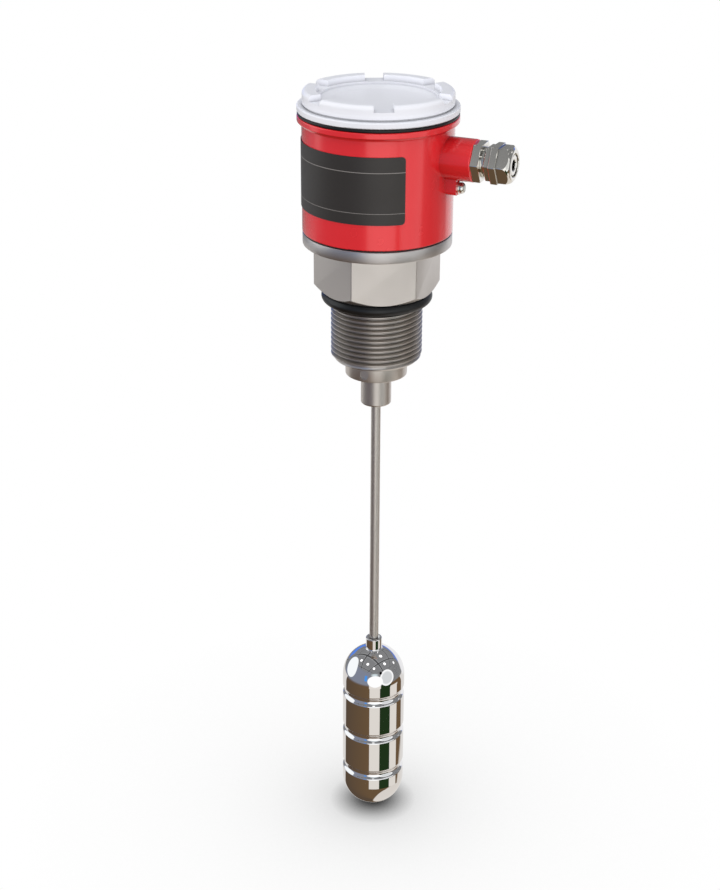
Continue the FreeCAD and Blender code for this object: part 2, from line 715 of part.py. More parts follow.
def make_housing():
    """Cast housing: pot with a rim, cable boss, outer earth boss and inner earth pillar."""
    body = new_body("housing")
    spigot_hole = d.spigot_radius + d.running_fit
    turn_solid(body, "Pot", [
        (spigot_hole, housing_base),
        (d.housing_radius, housing_base, d.rim_round),
        (d.housing_radius, housing_top - d.rim_height, d.rim_fillet),
        (rim_radius, housing_top - d.rim_height, d.rim_round),
        (rim_radius, housing_top, d.rim_round),
        (chamber_radius, housing_top),
        (chamber_radius, floor_top, d.floor_fillet),
        (spigot_hole, floor_top),
    ])
    in_wall = chamber_radius + d.housing_wall / 3
    boss = new_sketch(body, "CableBoss", "YZ_Plane", in_wall)
    draw_circle(boss, ZERO, entry_level, d.entry_boss_radius)
    boss_pad = pad(body, "CableBossPad", boss, entry_end - in_wall)
    end_centre = Vector(entry_end.number, 0, entry_level.number)
    edges = edges_where(boss_pad, lambda edge: is_circle(edge, d.entry_boss_radius, end_centre))
    fillet(body, "CableBossRound", boss_pad, edges, d.entry_boss_round)
    low = boss_under - d.earth_boss_drop
    high = boss_under + d.earth_boss_sink
    half = d.earth_boss_width / 2
    earth = new_sketch(body, "EarthBoss", "YZ_Plane", in_wall)
    draw_outline(earth, [(-half, low, d.earth_boss_round), (half, low, d.earth_boss_round),
                         (half, high), (-half, high)])
    pad(body, "EarthBossPad", earth, earth_face - in_wall)
    pillar = new_sketch(body, "EarthPillar", "XY_Plane", floor_top - d.housing_floor / 2)
    draw_circle(pillar, inner_earth_x, ZERO, d.inner_earth_radius)
    pad(body, "EarthPillarPad", pillar, d.inner_earth_height + d.housing_floor / 2)
    bore = new_sketch(body, "CableBore", "YZ_Plane", entry_end)
    draw_circle(bore, ZERO, entry_level, d.gland_thread_radius + d.fixed_fit)
    pocket(body, "CableBorePocket", bore, entry_end - chamber_radius + d.housing_wall)
    seat = new_sketch(body, "WasherSeat", "YZ_Plane", entry_end)
    draw_circle(seat, ZERO, entry_level, d.gland_washer_radius + d.fixed_fit)
    pocket(body, "WasherSeatPocket", seat, d.gland_washer_thickness)
    earth_hole = new_sketch(body, "EarthHole", "YZ_Plane", earth_face)
    draw_circle(earth_hole, ZERO, earth_level, d.earth_shank_radius + d.fixed_fit)
    pocket(body, "EarthHolePocket", earth_hole, d.earth_shank_length + d.earth_washer_thickness)
    pillar_hole = new_sketch(body, "PillarHole", "XY_Plane", floor_top + d.inner_earth_height)
    draw_circle(pillar_hole, inner_earth_x, ZERO, d.earth_shank_radius + d.fixed_fit)
    pocket(body, "PillarHolePocket", pillar_hole, d.earth_shank_length + d.earth_washer_thickness)
    block_holes = new_sketch(body, "BlockHoles", "XY_Plane", floor_top)
    for side in (-1, 1):
        draw_circle(block_holes, block_screw_x, d.block_screw_spacing / 2 * side,
                    d.block_screw_radius + d.fixed_fit)
    pocket(body, "BlockHolesPocket", block_holes, d.block_screw_bite + d.face_gap)
    return body


def make_rating_plate():
    """Thin bare plate wrapped round the housing, with rounded corners."""
    body = new_body("rating_plate")
    inner = d.housing_radius + d.fixed_fit
    outer = inner + d.plate_thickness
    low = housing_base + d.plate_rise
    strip = turn_solid(body, "Strip", box_corners(inner, outer, low, low + d.plate_height), angle=d.plate_angle)
    body.Placement = Placement(Vector(0, 0, 0), Rotation(Z_AXIS, d.plate_start.number))
    thickness = d.plate_thickness.number
    corners = edges_where(strip, lambda edge: abs(edge.Length - thickness) < 1e-4)
    fillet(body, "Corners", strip, corners, d.plate_corner)
    return body


lid_base = housing_top + d.seal_thickness
crown_base = lid_base + d.lid_rim_height
crown_top = crown_base + d.crown_height


def make_lid_seal():
    """Black seal between the two rims, carried by the lid."""
    body = new_body("lid_seal")
    outer = rim_radius - d.seal_recess
    low = housing_top + d.face_gap
    high = lid_base - d.face_gap
    bulge = (high - low) * 0.4
    turn_solid(body, "Ring", [
        (outer - d.seal_width, low),
        (outer, low, bulge),
        (outer, high, bulge),
        (outer - d.seal_width, high),
    ])
    return body


def make_lid():
    """Cast screw lid: skirt, rim, crown with spanner notches, recessed centre."""
    body = new_body("lid")
    skirt_radius = chamber_radius - d.lid_thread_gap
    skirt_inner = skirt_radius - d.lid_skirt_wall
    recess_floor = crown_top - d.recess_depth
    plate_under = recess_floor - d.lid_plate
    notch_floor = crown_top - d.notch_depth
    crown_inside = crown_radius - d.crown_wall
    recess_radius = crown_inside - d.recess_ledge
    turn_solid(body, "Cap", [
        (ZERO, plate_under),
        (skirt_inner, plate_under),
        (skirt_inner, lid_base - d.lid_skirt_length),
        (skirt_radius, lid_base - d.lid_skirt_length),
        (skirt_radius, lid_base),
        (rim_radius, lid_base, d.rim_round),
        (rim_radius, crown_base, d.rim_round),
        (crown_radius - d.crown_groove, crown_base),
        (crown_radius - d.crown_groove, crown_base + d.crown_groove),
        (crown_radius, crown_base + d.crown_groove),
        (crown_radius, crown_top, d.crown_round),
        (crown_inside, crown_top, d.rim_round),
        (crown_inside, notch_floor),
        (recess_radius, notch_floor),
        (recess_radius, recess_floor + d.recess_slope_rise),
        (recess_radius - d.recess_slope_width, recess_floor),
        (ZERO, recess_floor),
    ])
    notch = new_sketch(body, "Notch", "XY_Plane", crown_top)
    half = d.notch_width / 2
    draw_outline(notch, box_corners(crown_inside - d.recess_ledge / 2, rim_radius, -half, half))
    notch_pocket = pocket(body, "NotchPocket", notch, d.notch_depth)
    body.Placement = Placement(Vector(0, 0, 0), Rotation(Z_AXIS, d.notch_turn.number))
    pattern = body.newObject("PartDesign::PolarPattern", "Notches")
    pattern.Originals = [notch_pocket]
    pattern.Axis = (notch, ["N_Axis"])
    pattern.Angle = 360
    bind(pattern, "Occurrences", d.notch_count)
    body.Tip = pattern
    return body


def make_pivot_pin():
    """Pin across the collar, its ends a little inside the collar's wall."""
    half = d.collar_radius - d.pin_inset
    return cylinder("pivot_pin", d.pin_radius, half * 2, y=-half, z=pin_level, rotation=TO_Y)


def make_thrust_washers():
    """Two washers that fill the bore beside the hub's flats."""
    inner_face = d.hub_flats / 2 + d.side_gap
    wall_at_rim = (d.bore_radius * d.bore_radius - d.washer_radius * d.washer_radius).root()
    thickness = wall_at_rim - inner_face - d.fixed_fit
    sides = []
    for name, start, rotation in (("washer_front", -inner_face, TO_MINUS_Y), ("washer_back", inner_face, TO_Y)):
        sides.append(ring(name, d.washer_radius, d.pin_radius + d.fixed_fit, thickness,
                          y=start, z=pin_level, rotation=rotation))
    return group("thrust_washers", sides)


stub_top = web_bottom - d.stub_gap
hub_end = -d.hub_bottom


def make_arm_hub():
    """Hub on the pivot pin: stub with a magnet hole above, rod socket below."""
    body = new_body("arm_hub")
    shoulder = pin_level + d.hub_shoulder
    socket = d.rod_radius + d.fixed_fit
    magnet_hole = d.arm_magnet_radius + d.fixed_fit
    magnet_floor = stub_top - d.arm_magnet_length - d.face_gap
    turn_solid(body, "Turned", [
        (ZERO, hub_end + d.rod_seat),
        (socket, hub_end + d.rod_seat),
        (socket, hub_end),
        (d.hub_radius, hub_end, d.hub_round),
        (d.hub_radius, shoulder),
        (d.stub_radius, shoulder + (d.hub_radius - d.stub_radius)),
        (d.stub_radius, stub_top),
        (magnet_hole, stub_top),
        (magnet_hole, magnet_floor),
        (ZERO, magnet_floor),
    ])
    hole = new_sketch(body, "PinHole", "XZ_Plane")
    draw_circle(hole, ZERO, pin_level, d.pin_radius + d.running_fit)
    pocket(body, "PinHolePocket", hole, d.hub_radius * 3, midplane=True)
    flats = new_sketch(body, "Flats", "YZ_Plane")
    for side in (-1, 1):
        near = d.hub_flats / 2 * side
        far = d.hub_radius * 1.5 * side
        low = pin_level - d.washer_radius - d.side_gap
        high = stub_top
        corners = box_corners(near, far, low, high)
        draw_outline(flats, corners if side > 0 else corners[::-1])
    pocket(body, "FlatsPocket", flats, d.hub_radius * 3, midplane=True)
    return body


def make_arm_magnet():
    """Magnet pressed into the stub."""
    return cylinder("arm_magnet", d.arm_magnet_radius, d.arm_magnet_length, z=stub_top - d.arm_magnet_length)


float_end = -d.float_bottom
lower_centre = float_end + d.float_radius
upper_centre = float_end + d.float_length - d.float_radius
neck_foot_radius = d.neck_radius + d.neck_flare
land = upper_centre + (d.float_radius * d.float_radius - neck_foot_radius * neck_foot_radius).root()
neck_top = land + d.neck_height
spigot_end = land - d.neck_spigot_length


def make_float_shell():
    """Hollow polished float: two domes, a tube with three rolled grooves, a flat land on top."""
    body = new_body("float_shell")
    middle = (lower_centre + upper_centre) / 2
    half = d.groove_width / 2
    roll = (half * half + d.groove_depth * d.groove_depth) / (d.groove_depth * 2)
    inner_radius = d.float_radius - d.float_wall
    inner_roll = roll + d.float_wall
    roll_offset = roll - d.groove_depth + d.float_wall
    inner_half = (inner_roll * inner_roll - roll_offset * roll_offset).root()
    mouth = d.neck_spigot_radius + d.fixed_fit
    inner_land = land - d.float_wall
    land_drop = inner_land - upper_centre
    land_edge = (inner_radius * inner_radius - land_drop * land_drop).root()
    levels = [middle + d.groove_pitch * step for step in (-1, 0, 1)]
    corners = [(ZERO, float_end), Bulge(d.float_radius, 1), (d.float_radius, lower_centre)]
    for level in levels:
        corners += [(d.float_radius, level - half), Bulge(roll, -1), (d.float_radius, level + half)]
    corners += [(d.float_radius, upper_centre), Bulge(d.float_radius, 1), (neck_foot_radius, land),
                (mouth, land), (mouth, inner_land), (land_edge, inner_land),
                Bulge(inner_radius, -1), (inner_radius, upper_centre)]
    for level in reversed(levels):
        corners += [(inner_radius, level + inner_half), Bulge(inner_roll, 1), (inner_radius, level - inner_half)]
    corners += [(inner_radius, lower_centre), Bulge(inner_radius, -1), (ZERO, float_end + d.float_wall)]
    shell = turn_solid(body, "Shell", corners)
    rims = [level + half * side for level in levels for side in (-1, 1)]

    def on_rim(edge):
        return any(is_circle(edge, d.float_radius, Vector(0, 0, rim.number)) for rim in rims)

    fillet(body, "GrooveRounds", shell, edges_where(shell, on_rim), d.groove_round)
    return body


def make_float_neck():
    """Neck on the float's land, with a spigot inside and a recess round the rod."""
    body = new_body("float_neck")
    socket = d.rod_radius + d.fixed_fit
    turn_solid(body, "Turned", [
        (ZERO, spigot_end),
        (d.neck_spigot_radius, spigot_end),
        (d.neck_spigot_radius, land),
        (neck_foot_radius, land),
        Bulge(d.neck_flare, -1),
        (d.neck_radius, land + d.neck_flare),
        (d.neck_radius, neck_top, d.neck_flare / 2),
        (d.neck_recess_radius, neck_top),
        (d.neck_recess_radius, neck_top - d.neck_recess_depth),
        (socket, neck_top - d.neck_recess_depth),
        (socket, spigot_end + d.float_wall),
        (ZERO, spigot_end + d.float_wall),
    ])
    return body


def make_float_rod():
    """Rod from the hub's socket to the bottom of the neck."""
    low = spigot_end + d.float_wall + d.face_gap
    high = hub_end + d.rod_seat - d.face_gap
    return cylinder("float_rod", d.rod_radius, high - low, z=low)


# Stations of the gland along X
thread_start = entry_end - d.gland_thread_length
hex_end = entry_end + d.gland_body_hex
shoulder_end = hex_end + d.gland_shoulder_length
front_end = shoulder_end + d.gland_front_length
nut_start = shoulder_end + d.nut_gap
nut_hex_start = nut_start + d.nut_back_length
nut_front_start = nut_hex_start + d.nut_hex_length
nut_end = nut_front_start + d.nut_front_length
lip_start = nut_end - d.nut_lip
nut_bore = d.gland_front_radius + d.nut_thread_gap
seal_start = front_end + d.gland_seal_proud - d.gland_seal_length


def gland_hexagon(body, name, flats, start, length):
    """Pad one hexagon of the gland, its flats up and down and its long edges rounded."""
    sketch = new_sketch(body, name, "YZ_Plane", start)
    draw_outline(sketch, hexagon_corners(flats, upright=False))
    solid = pad(body, name + "Pad", sketch, length)
    span = (start.number, (start + length).number)

    def on_corner(edge):
        ends = sorted(vertex.X for vertex in edge.Vertexes)
        return len(ends) == 2 and all(abs(end - limit) < 1e-4 for end, limit in zip(ends, span))

    return fillet(body, name + "Corners", solid, edges_where(solid, on_corner), d.gland_corner_round)


def make_gland_body():
    """Gland body: thread, hexagon, shoulder and front thread, with the seal's seat."""
    body = new_body("gland_body", z=entry_level)
    gland_hexagon(body, "Hexagon", d.gland_hex_flats, entry_end, d.gland_body_hex)
    for name, radius, start, end in (
            ("Thread", d.gland_thread_radius, thread_start, entry_end),
            ("Shoulder", d.gland_shoulder_radius, hex_end, shoulder_end),
            ("Front", d.gland_front_radius, shoulder_end, front_end)):
        sketch = new_sketch(body, name, "YZ_Plane", start)
        draw_circle(sketch, ZERO, ZERO, radius)
        pad(body, name + "Pad", sketch, end - start)
    bevel_hexagon(body, "HexagonChamfer", d.gland_hex_flats, hex_end, 1)
    seat = d.gland_seal_radius + d.fixed_fit
    turn_cut(body, "Bore", [
        (thread_start, ZERO),
        (front_end, ZERO),
        (front_end, seat),
        (seal_start, seat),
        (seal_start, d.gland_bore_radius),
        (thread_start, d.gland_bore_radius),
    ], axis="H_Axis")
    return body


def make_gland_washer():
    """Sealing washer in the cable boss, under the gland's hexagon."""
    return ring("gland_washer", d.gland_washer_radius, d.gland_thread_radius + d.fixed_fit,
                d.gland_washer_thickness, x=entry_end - d.gland_washer_thickness,
                z=entry_level, rotation=TO_X)


def make_gland_seal():
    """Rubber seal in the gland body, that grips the cable."""
    return ring("gland_seal", d.gland_seal_radius, d.cable_radius, d.gland_seal_length,
                x=seal_start, z=entry_level, rotation=TO_X)


def make_slip_ring():
    """Slip ring: a flange behind the nut's lip and a face in its mouth."""
    body = new_body("gland_slip_ring", z=entry_level)
    start = front_end + d.gland_seal_proud + d.face_gap
    flange = d.gland_front_radius
    nose = d.nut_mouth_radius - d.nut_thread_gap
    face = nut_end - d.slip_ring_recess
    turn_solid(body, "Ring", [
        (start, d.slip_ring_bore),
        (face, d.slip_ring_bore, d.slip_ring_recess),
        (face, nose, d.slip_ring_recess),
        (lip_start - d.face_gap, nose),
        (lip_start - d.face_gap, flange),
        (start, flange),
    ], axis="H_Axis")
    return body


def make_gland_nut():
    """Dome nut: rear hexagon, main hexagon and a front that rounds to the mouth."""
    body = new_body("gland_nut", z=entry_level)
    gland_hexagon(body, "Main", d.gland_hex_flats, nut_hex_start, d.nut_hex_length)
    gland_hexagon(body, "Rear", d.nut_back_flats, nut_start, d.nut_back_length)
    gland_hexagon(body, "Front", d.nut_front_flats, nut_front_start, d.nut_front_length)
    dome_start = nut_end - d.nut_dome_length
    clear_of_corner = d.nut_dome_radius + d.cutter_margin
    turn_cut(body, "Dome", [
        (dome_start, d.nut_dome_radius),
        (dome_start, clear_of_corner),
        (nut_end, clear_of_corner),
        (nut_end, d.nut_face_radius),
        Bulge(d.nut_dome_bulge, 1),
    ], axis="H_Axis")
    bevel_hexagon(body, "RearChamfer", d.nut_back_flats, nut_start, -1)
    bevel_hexagon(body, "MainChamfer", d.gland_hex_flats, nut_front_start, 1)
    turn_cut(body, "Bore", [
        (nut_start, ZERO),
        (nut_end, ZERO),
        (nut_end, d.nut_mouth_radius + d.nut_mouth_chamfer),
        (nut_end - d.nut_mouth_chamfer, d.nut_mouth_radius),
        (lip_start, d.nut_mouth_radius),
        (lip_start, nut_bore),
        (nut_start, nut_bore),
    ], axis="H_Axis")
    return body


def make_earth_screw(name, x, z, rotation):
    """Pan-head screw with a slot. Its head stands on the local XY plane."""
    body = new_body(name)
    body.Placement = Placement(Vector(x.number, 0, z.number), rotation)
    for axis, size in (("x", x), ("z", z)):
        bind(body, "Placement.Base.%s" % axis, size)
    turn_solid(body, "Screw", [
        (ZERO, -d.earth_shank_length),
        (d.earth_shank_radius, -d.earth_shank_length),
        (d.earth_shank_radius, ZERO),
        (d.earth_head_radius, ZERO),
        (d.earth_head_radius, d.earth_head_height, d.earth_head_round),
        (ZERO, d.earth_head_height),
    ])
    slot = new_sketch(body, "Slot", "XY_Plane", d.earth_head_height)
    half = d.earth_slot / 2
    wide = d.earth_head_radius + d.cutter_margin
    draw_outline(slot, box_corners(-wide, wide, -half, half))
    pocket(body, "SlotPocket", slot, d.earth_slot_depth)
    return body


shelf_under = spigot_top + d.bracket_shelf_gap
shelf_top = shelf_under + d.bracket_sheet
cheek_inner = d.switch_width / 2 + d.side_gap
switch_front = d.switch_offset
lever_pin_level = shelf_top + d.lever_pin_rise
switch_low = lever_pin_level - d.switch_drop
plunger_level = lever_pin_level + d.plunger_height


def make_bracket():
    """Folded sheet bracket: a foot under the lock nut, two cheeks for lever and switch."""
    body = new_body("switch_bracket")
    sheet_metal = d.bracket_sheet
    foot_inner = d.locknut_flats / ROOT3 + d.bracket_nut_gap
    foot_outer = foot_inner + sheet_metal
    cheek_outer = cheek_inner + sheet_metal
    cheek_top = shelf_top + d.cheek_height
    right = [(foot_outer, floor_top), (foot_outer, shelf_top), (cheek_outer, shelf_top),
             (cheek_outer, cheek_top), (cheek_inner, cheek_top), (cheek_inner, shelf_under),
             (foot_inner, shelf_under), (foot_inner, floor_top + sheet_metal)]
    left = [(-across, up) for across, up in reversed(right)]
    profile = new_sketch(body, "Fold", "YZ_Plane")
    draw_outline(profile, right + left)
    pad(body, "FoldPad", profile, bracket_depth, midplane=True)
    hole = new_sketch(body, "SpigotHole", "XY_Plane", floor_top)
    draw_circle(hole, ZERO, ZERO, d.spigot_radius + d.running_fit)
    pocket(body, "SpigotHolePocket", hole, sheet_metal, reverse=True)
    back = new_sketch(body, "CheekBack", "XZ_Plane")
    draw_outline(back, box_corners(-bracket_depth, -d.cheek_back, shelf_top, cheek_top + sheet_metal))
    across_cheeks = (cheek_outer + d.cutter_margin) * 2
    pocket(body, "CheekBackPocket", back, across_cheeks, midplane=True)
    holes = new_sketch(body, "CheekHoles", "XZ_Plane")
    draw_circle(holes, ZERO, lever_pin_level, d.lever_pin_radius + d.fixed_fit)
    for x, z in switch_screw_places():
        draw_circle(holes, x, z, d.switch_screw_radius + d.fixed_fit)
    pocket(body, "CheekHolesPocket", holes, across_cheeks, midplane=True)
    return body


def switch_screw_places():
    """Where the two screws go through the microswitch, as x and z."""
    x = switch_front + d.switch_depth / 2
    middle = switch_low + d.switch_height / 2
    return [(x, middle - d.switch_screw_pitch / 2), (x, middle + d.switch_screw_pitch / 2)]


def make_lever_pin():
    """Pin through both cheeks, with a head on one side."""
    cheek_outer = cheek_inner + d.bracket_sheet
    shank = cylinder("lever_pin_shank", d.lever_pin_radius, cheek_outer * 2 + d.bracket_sheet,
                     y=-cheek_outer, z=lever_pin_level, rotation=TO_Y)
    head = cylinder("lever_pin_cap", d.lever_pin_head, d.lever_pin_head_height,
                    y=-cheek_outer - d.lever_pin_head_height, z=lever_pin_level, rotation=TO_Y)
    return fuse("lever_pin", [shank, head])


def make_lever():
    """Follower lever: hub on the pin, a magnet cup below, a flat tip above."""
    body = new_body("switch_lever")
    cup_low = d.web_top + d.lever_cup_gap
    cup_top = cup_low + d.lever_cup_height
    half = d.lever_width / 2
    arms = new_sketch(body, "Arms", "XZ_Plane")
    draw_outline(arms, box_corners(-half, half, cup_top - d.lever_cup_height / 4,
                                   lever_pin_level + d.lever_tip))
    pad(body, "ArmsPad", arms, d.lever_sheet, midplane=True)
    hub = new_sketch(body, "Hub", "XZ_Plane")
    draw_circle(hub, ZERO, lever_pin_level, d.lever_hub_radius)
    pad(body, "HubPad", hub, (cheek_inner - d.side_gap) * 2, midplane=True)
    cup = new_sketch(body, "Cup", "XY_Plane", cup_low)
    draw_circle(cup, ZERO, ZERO, d.lever_cup_radius)
    pad(body, "CupPad", cup, d.lever_cup_height)
    well = new_sketch(body, "MagnetHole", "XY_Plane", cup_low)
    draw_circle(well, ZERO, ZERO, d.lever_magnet_radius + d.fixed_fit)
    pocket(body, "MagnetHolePocket", well, d.lever_magnet_length + d.face_gap, reverse=True)
    hole = new_sketch(body, "PinHole", "XZ_Plane")
    draw_circle(hole, ZERO, lever_pin_level, d.lever_pin_radius + d.running_fit)
    pocket(body, "PinHolePocket", hole, bracket_depth, midplane=True)
    return body


def make_lever_magnet():
    """Magnet in the lever's cup."""
    return cylinder("lever_magnet", d.lever_magnet_radius, d.lever_magnet_length,
                    z=d.web_top + d.lever_cup_gap)


def make_microswitch():
    """Microswitch case with its plunger's hole and two screw holes."""
    body = new_body("microswitch")
    outline = new_sketch(body, "Case", "XZ_Plane")
    back = switch_front + d.switch_depth
    top = switch_low + d.switch_height
    round_size = d.tab_sheet
    draw_outline(outline, [(switch_front, switch_low, round_size), (back, switch_low, round_size),
                           (back, top, round_size), (switch_front, top, round_size)])
    pad(body, "CasePad", outline, d.switch_width, midplane=True)
    holes = new_sketch(body, "ScrewHoles", "XZ_Plane")
    for x, z in switch_screw_places():
        draw_circle(holes, x, z, d.switch_screw_radius + d.fixed_fit)
    pocket(body, "ScrewHolesPocket", holes, d.switch_width * 2, midplane=True)
    well = new_sketch(body, "PlungerHole", "YZ_Plane", switch_front)
    draw_circle(well, ZERO, plunger_level, d.plunger_radius + d.running_fit)
    pocket(body, "PlungerHolePocket", well, d.plunger_well, reverse=True)
    return body


def make_plunger():
    """Plunger between lever and microswitch."""
    start = d.lever_width / 2 + d.plunger_gap
    return cylinder("switch_plunger", d.plunger_radius, switch_front + d.plunger_inside - start,
                    x=start, z=plunger_level, rotation=TO_X)


def tab_levels():
    """Heights of the three solder tabs."""
    middle = switch_low + d.switch_height / 2
    return [middle + d.tab_pitch * step for step in (-1, 0, 1)]


def make_switch_terminals():
    """Three solder tabs on the back of the microswitch."""
    start = switch_front + d.switch_depth
    tabs = [box("tab_%d" % index, d.tab_length, d.tab_width, d.tab_sheet,
                start, -d.tab_width / 2, level - d.tab_sheet / 2)
            for index, level in enumerate(tab_levels())]
    return group("switch_terminals", tabs)


def headed_screw(name, radius, head, length, head_height, x, y, z, rotation):
    """A cylinder-head screw whose shank runs from x, y, z along the turned Z axis."""
    body = new_body(name, x, y, z)
    body.Placement = Placement(body.Placement.Base, rotation)
    turn_solid(body, "Screw", [
        (ZERO, -head_height),
        (head, -head_height),
        (head, ZERO),
        (radius, ZERO),
        (radius, length),
        (ZERO, length),
    ])
    return body


def make_microswitch_screws():
    """Two screws through the cheeks and the microswitch."""
    cheek_outer = cheek_inner + d.bracket_sheet
    screws = [headed_screw("microswitch_screw_%d" % index, d.switch_screw_radius, d.switch_screw_head,
                           cheek_outer * 2 + d.bracket_sheet / 2, d.bracket_sheet,
                           x, -cheek_outer, z, TO_Y)
              for index, (x, z) in enumerate(switch_screw_places())]
    return group("microswitch_screws", screws)


def pole_offsets():
    """Places of the three poles along the block, spread over its raised row."""
    outermost = row_half - d.pole_margin
    return [outermost * step for step in (-1, 0, 1)]


block_screw_level = floor_top + d.block_height - d.block_step_height
row_half = block_half - d.block_ear
pole_x = (block_row + block_outer) / 2
wire_x = (block_inner + block_row) / 2


def make_terminal_block():
    """Terminal block: a ledge with wire entries, a raised row with screw wells, two ends."""
    body = new_body("terminal_block")
    low = floor_top
    ledge = block_screw_level
    top = floor_top + d.block_height
    profile = new_sketch(body, "Block", "XZ_Plane")
    draw_outline(profile, [
        (block_inner, low),
        (block_outer, low),
        (block_outer, top),
        (block_row, top),
        (block_row, ledge),
        (block_inner, ledge),
    ])
    pad(body, "BlockPad", profile, block_half * 2, midplane=True)
    ends = new_sketch(body, "Ends", "XY_Plane", top)
    past_end = block_half + d.cutter_margin
    for side in (-1, 1):
        corners = box_corners(block_inner, block_outer + d.cutter_margin, row_half * side, past_end * side)
        draw_outline(ends, corners if side > 0 else corners[::-1])
    pocket(body, "EndsPocket", ends, d.block_step_height)
    wells = new_sketch(body, "ScrewWells", "XY_Plane", top)
    for y in pole_offsets():
        draw_circle(wells, pole_x, y, d.pole_screw_radius + d.running_fit)
    pocket(body, "ScrewWellsPocket", wells, d.pole_well_depth)
    wires = new_sketch(body, "WireHoles", "XY_Plane", ledge)
    for y in pole_offsets():
        draw_circle(wires, wire_x, y, d.wire_hole_radius)
    pocket(body, "WireHolesPocket", wires, d.wire_hole_depth)
    mounting = new_sketch(body, "MountingHoles", "XY_Plane", top)
    for side in (-1, 1):
        draw_circle(mounting, block_screw_x, d.block_screw_spacing / 2 * side,
                    d.block_screw_radius + d.fixed_fit)
    pocket(body, "MountingHolesPocket", mounting, d.block_height + d.cutter_margin)
    return body


def make_terminal_screws():
    """Three clamp screws in the block's wells."""
    floor = floor_top + d.block_height - d.pole_well_depth
    screws = []
    for index, y in enumerate(pole_offsets()):
        shank = cylinder("clamp_%d" % index, d.pole_screw_radius, d.pole_screw_height, pole_x, y, floor)
        slot = box("clamp_slot_%d" % index, d.pole_screw_radius * 2, d.earth_slot,
                   d.pole_slot_depth + d.cutter_margin, pole_x - d.pole_screw_radius,
                   y - d.earth_slot / 2, floor + d.pole_screw_height - d.pole_slot_depth)
        screws.append(cut("clamp_screw_%d" % index, shank, slot))
    return group("terminal_screws", screws)


def make_block_screws():
    """Two screws through the block's ends into the housing floor."""
    length = block_screw_level - floor_top + d.block_screw_bite
    screws = [headed_screw("block_screw_%d" % index, d.block_screw_radius, d.block_screw_head,
                           length, d.block_screw_head_height, block_screw_x,
                           d.block_screw_spacing / 2 * side, block_screw_level, Rotation(X_AXIS, 180))
              for index, side in enumerate((-1, 1))]
    return group("block_screws", screws)


pieces = [
    make_connector(),
    make_process_seal(),
    ring("base_gasket", d.housing_radius - d.rim_round, d.spigot_radius + d.running_fit,
         d.gasket_thickness, z=flange_top),
    make_housing(),
    make_locknut(),
    make_rating_plate(),
    make_lid_seal(),
    make_lid(),
    make_pivot_pin(),
    make_thrust_washers(),
    make_arm_hub(),
    make_arm_magnet(),
    make_float_rod(),
    make_float_neck(),
    make_float_shell(),
    make_gland_body(),
    make_gland_washer(),
    make_gland_seal(),
    make_slip_ring(),
    make_gland_nut(),
    make_earth_screw("earth_screw", earth_face + d.earth_washer_thickness, earth_level, TO_X),
    ring("earth_washer", d.earth_washer_radius, d.earth_shank_radius + d.fixed_fit,
         d.earth_washer_thickness, x=earth_face, z=earth_level, rotation=TO_X),
    make_earth_screw("inner_earth_screw", inner_earth_x, floor_top + d.inner_earth_height, Rotation()),
    make_bracket(),
    make_lever_pin(),
    make_lever(),
    make_lever_magnet(),
    make_microswitch(),
    make_plunger(),
    make_switch_terminals(),
    make_microswitch_screws(),
    make_terminal_block(),
    make_terminal_screws(),
    make_block_screws(),
]

doc.recompute()
for item in doc.Objects:
    if "Invalid" in item.State or "Error" in item.State:
        raise RuntimeError("%s failed: %s" % (item.Name, item.State))
for piece in pieces:
    if piece.Shape.isNull() or not piece.Shape.isValid():
        raise RuntimeError("%s has no valid shape" % piece.Label)

os.makedirs("parts", exist_ok=True)
for piece in pieces:
    piece.Shape.exportStep("parts/%s.step" % piece.Label)
    print("%-20s %d solids %10.1f mm3" % (piece.Label, len(piece.Shape.Solids), piece.Shape.Volume))
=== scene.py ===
"""A float switch: painted cast head, threaded steel connector, hanging rod and polished float.

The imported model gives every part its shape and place. This script adds the cut threads and
the gland's broken edges, a finish for each part, and a plain studio around the object.
Lengths are in metres, +Z is up along the connector's axis, and the cable gland points
along +X.
"""

import logging
import math
from dataclasses import dataclass, field
from enum import Enum

import bmesh
import bpy
from mathutils import Euler, Matrix, Vector

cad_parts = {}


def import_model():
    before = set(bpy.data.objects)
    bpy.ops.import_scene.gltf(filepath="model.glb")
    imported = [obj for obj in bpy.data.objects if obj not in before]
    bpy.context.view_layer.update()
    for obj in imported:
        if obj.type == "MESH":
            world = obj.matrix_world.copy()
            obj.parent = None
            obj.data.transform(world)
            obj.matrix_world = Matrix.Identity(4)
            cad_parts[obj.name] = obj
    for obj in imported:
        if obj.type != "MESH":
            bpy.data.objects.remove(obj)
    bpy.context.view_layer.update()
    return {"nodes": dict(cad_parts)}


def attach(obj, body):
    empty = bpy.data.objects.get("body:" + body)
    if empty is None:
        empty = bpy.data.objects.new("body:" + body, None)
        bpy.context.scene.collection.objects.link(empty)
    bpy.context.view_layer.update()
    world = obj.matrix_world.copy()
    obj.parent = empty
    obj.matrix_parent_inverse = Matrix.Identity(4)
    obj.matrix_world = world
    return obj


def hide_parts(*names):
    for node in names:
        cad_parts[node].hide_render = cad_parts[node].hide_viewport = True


LOG = logging.getLogger("float_switch")
MM = 0.001
# Vertices closer than this are merged.
SAME_POINT = 1e-7
# Lengths that differ by less than this are taken as equal.
NEAR = 1e-5
# Height of the cable gland's axis.
GLAND_LEVEL = 69.8 * MM
# Most of a noise pattern's values lie in this range.
NOISE_RANGE = (0.3, 0.7)

Colour = tuple[float, float, float, float]
Outline = list[tuple[float, float]]


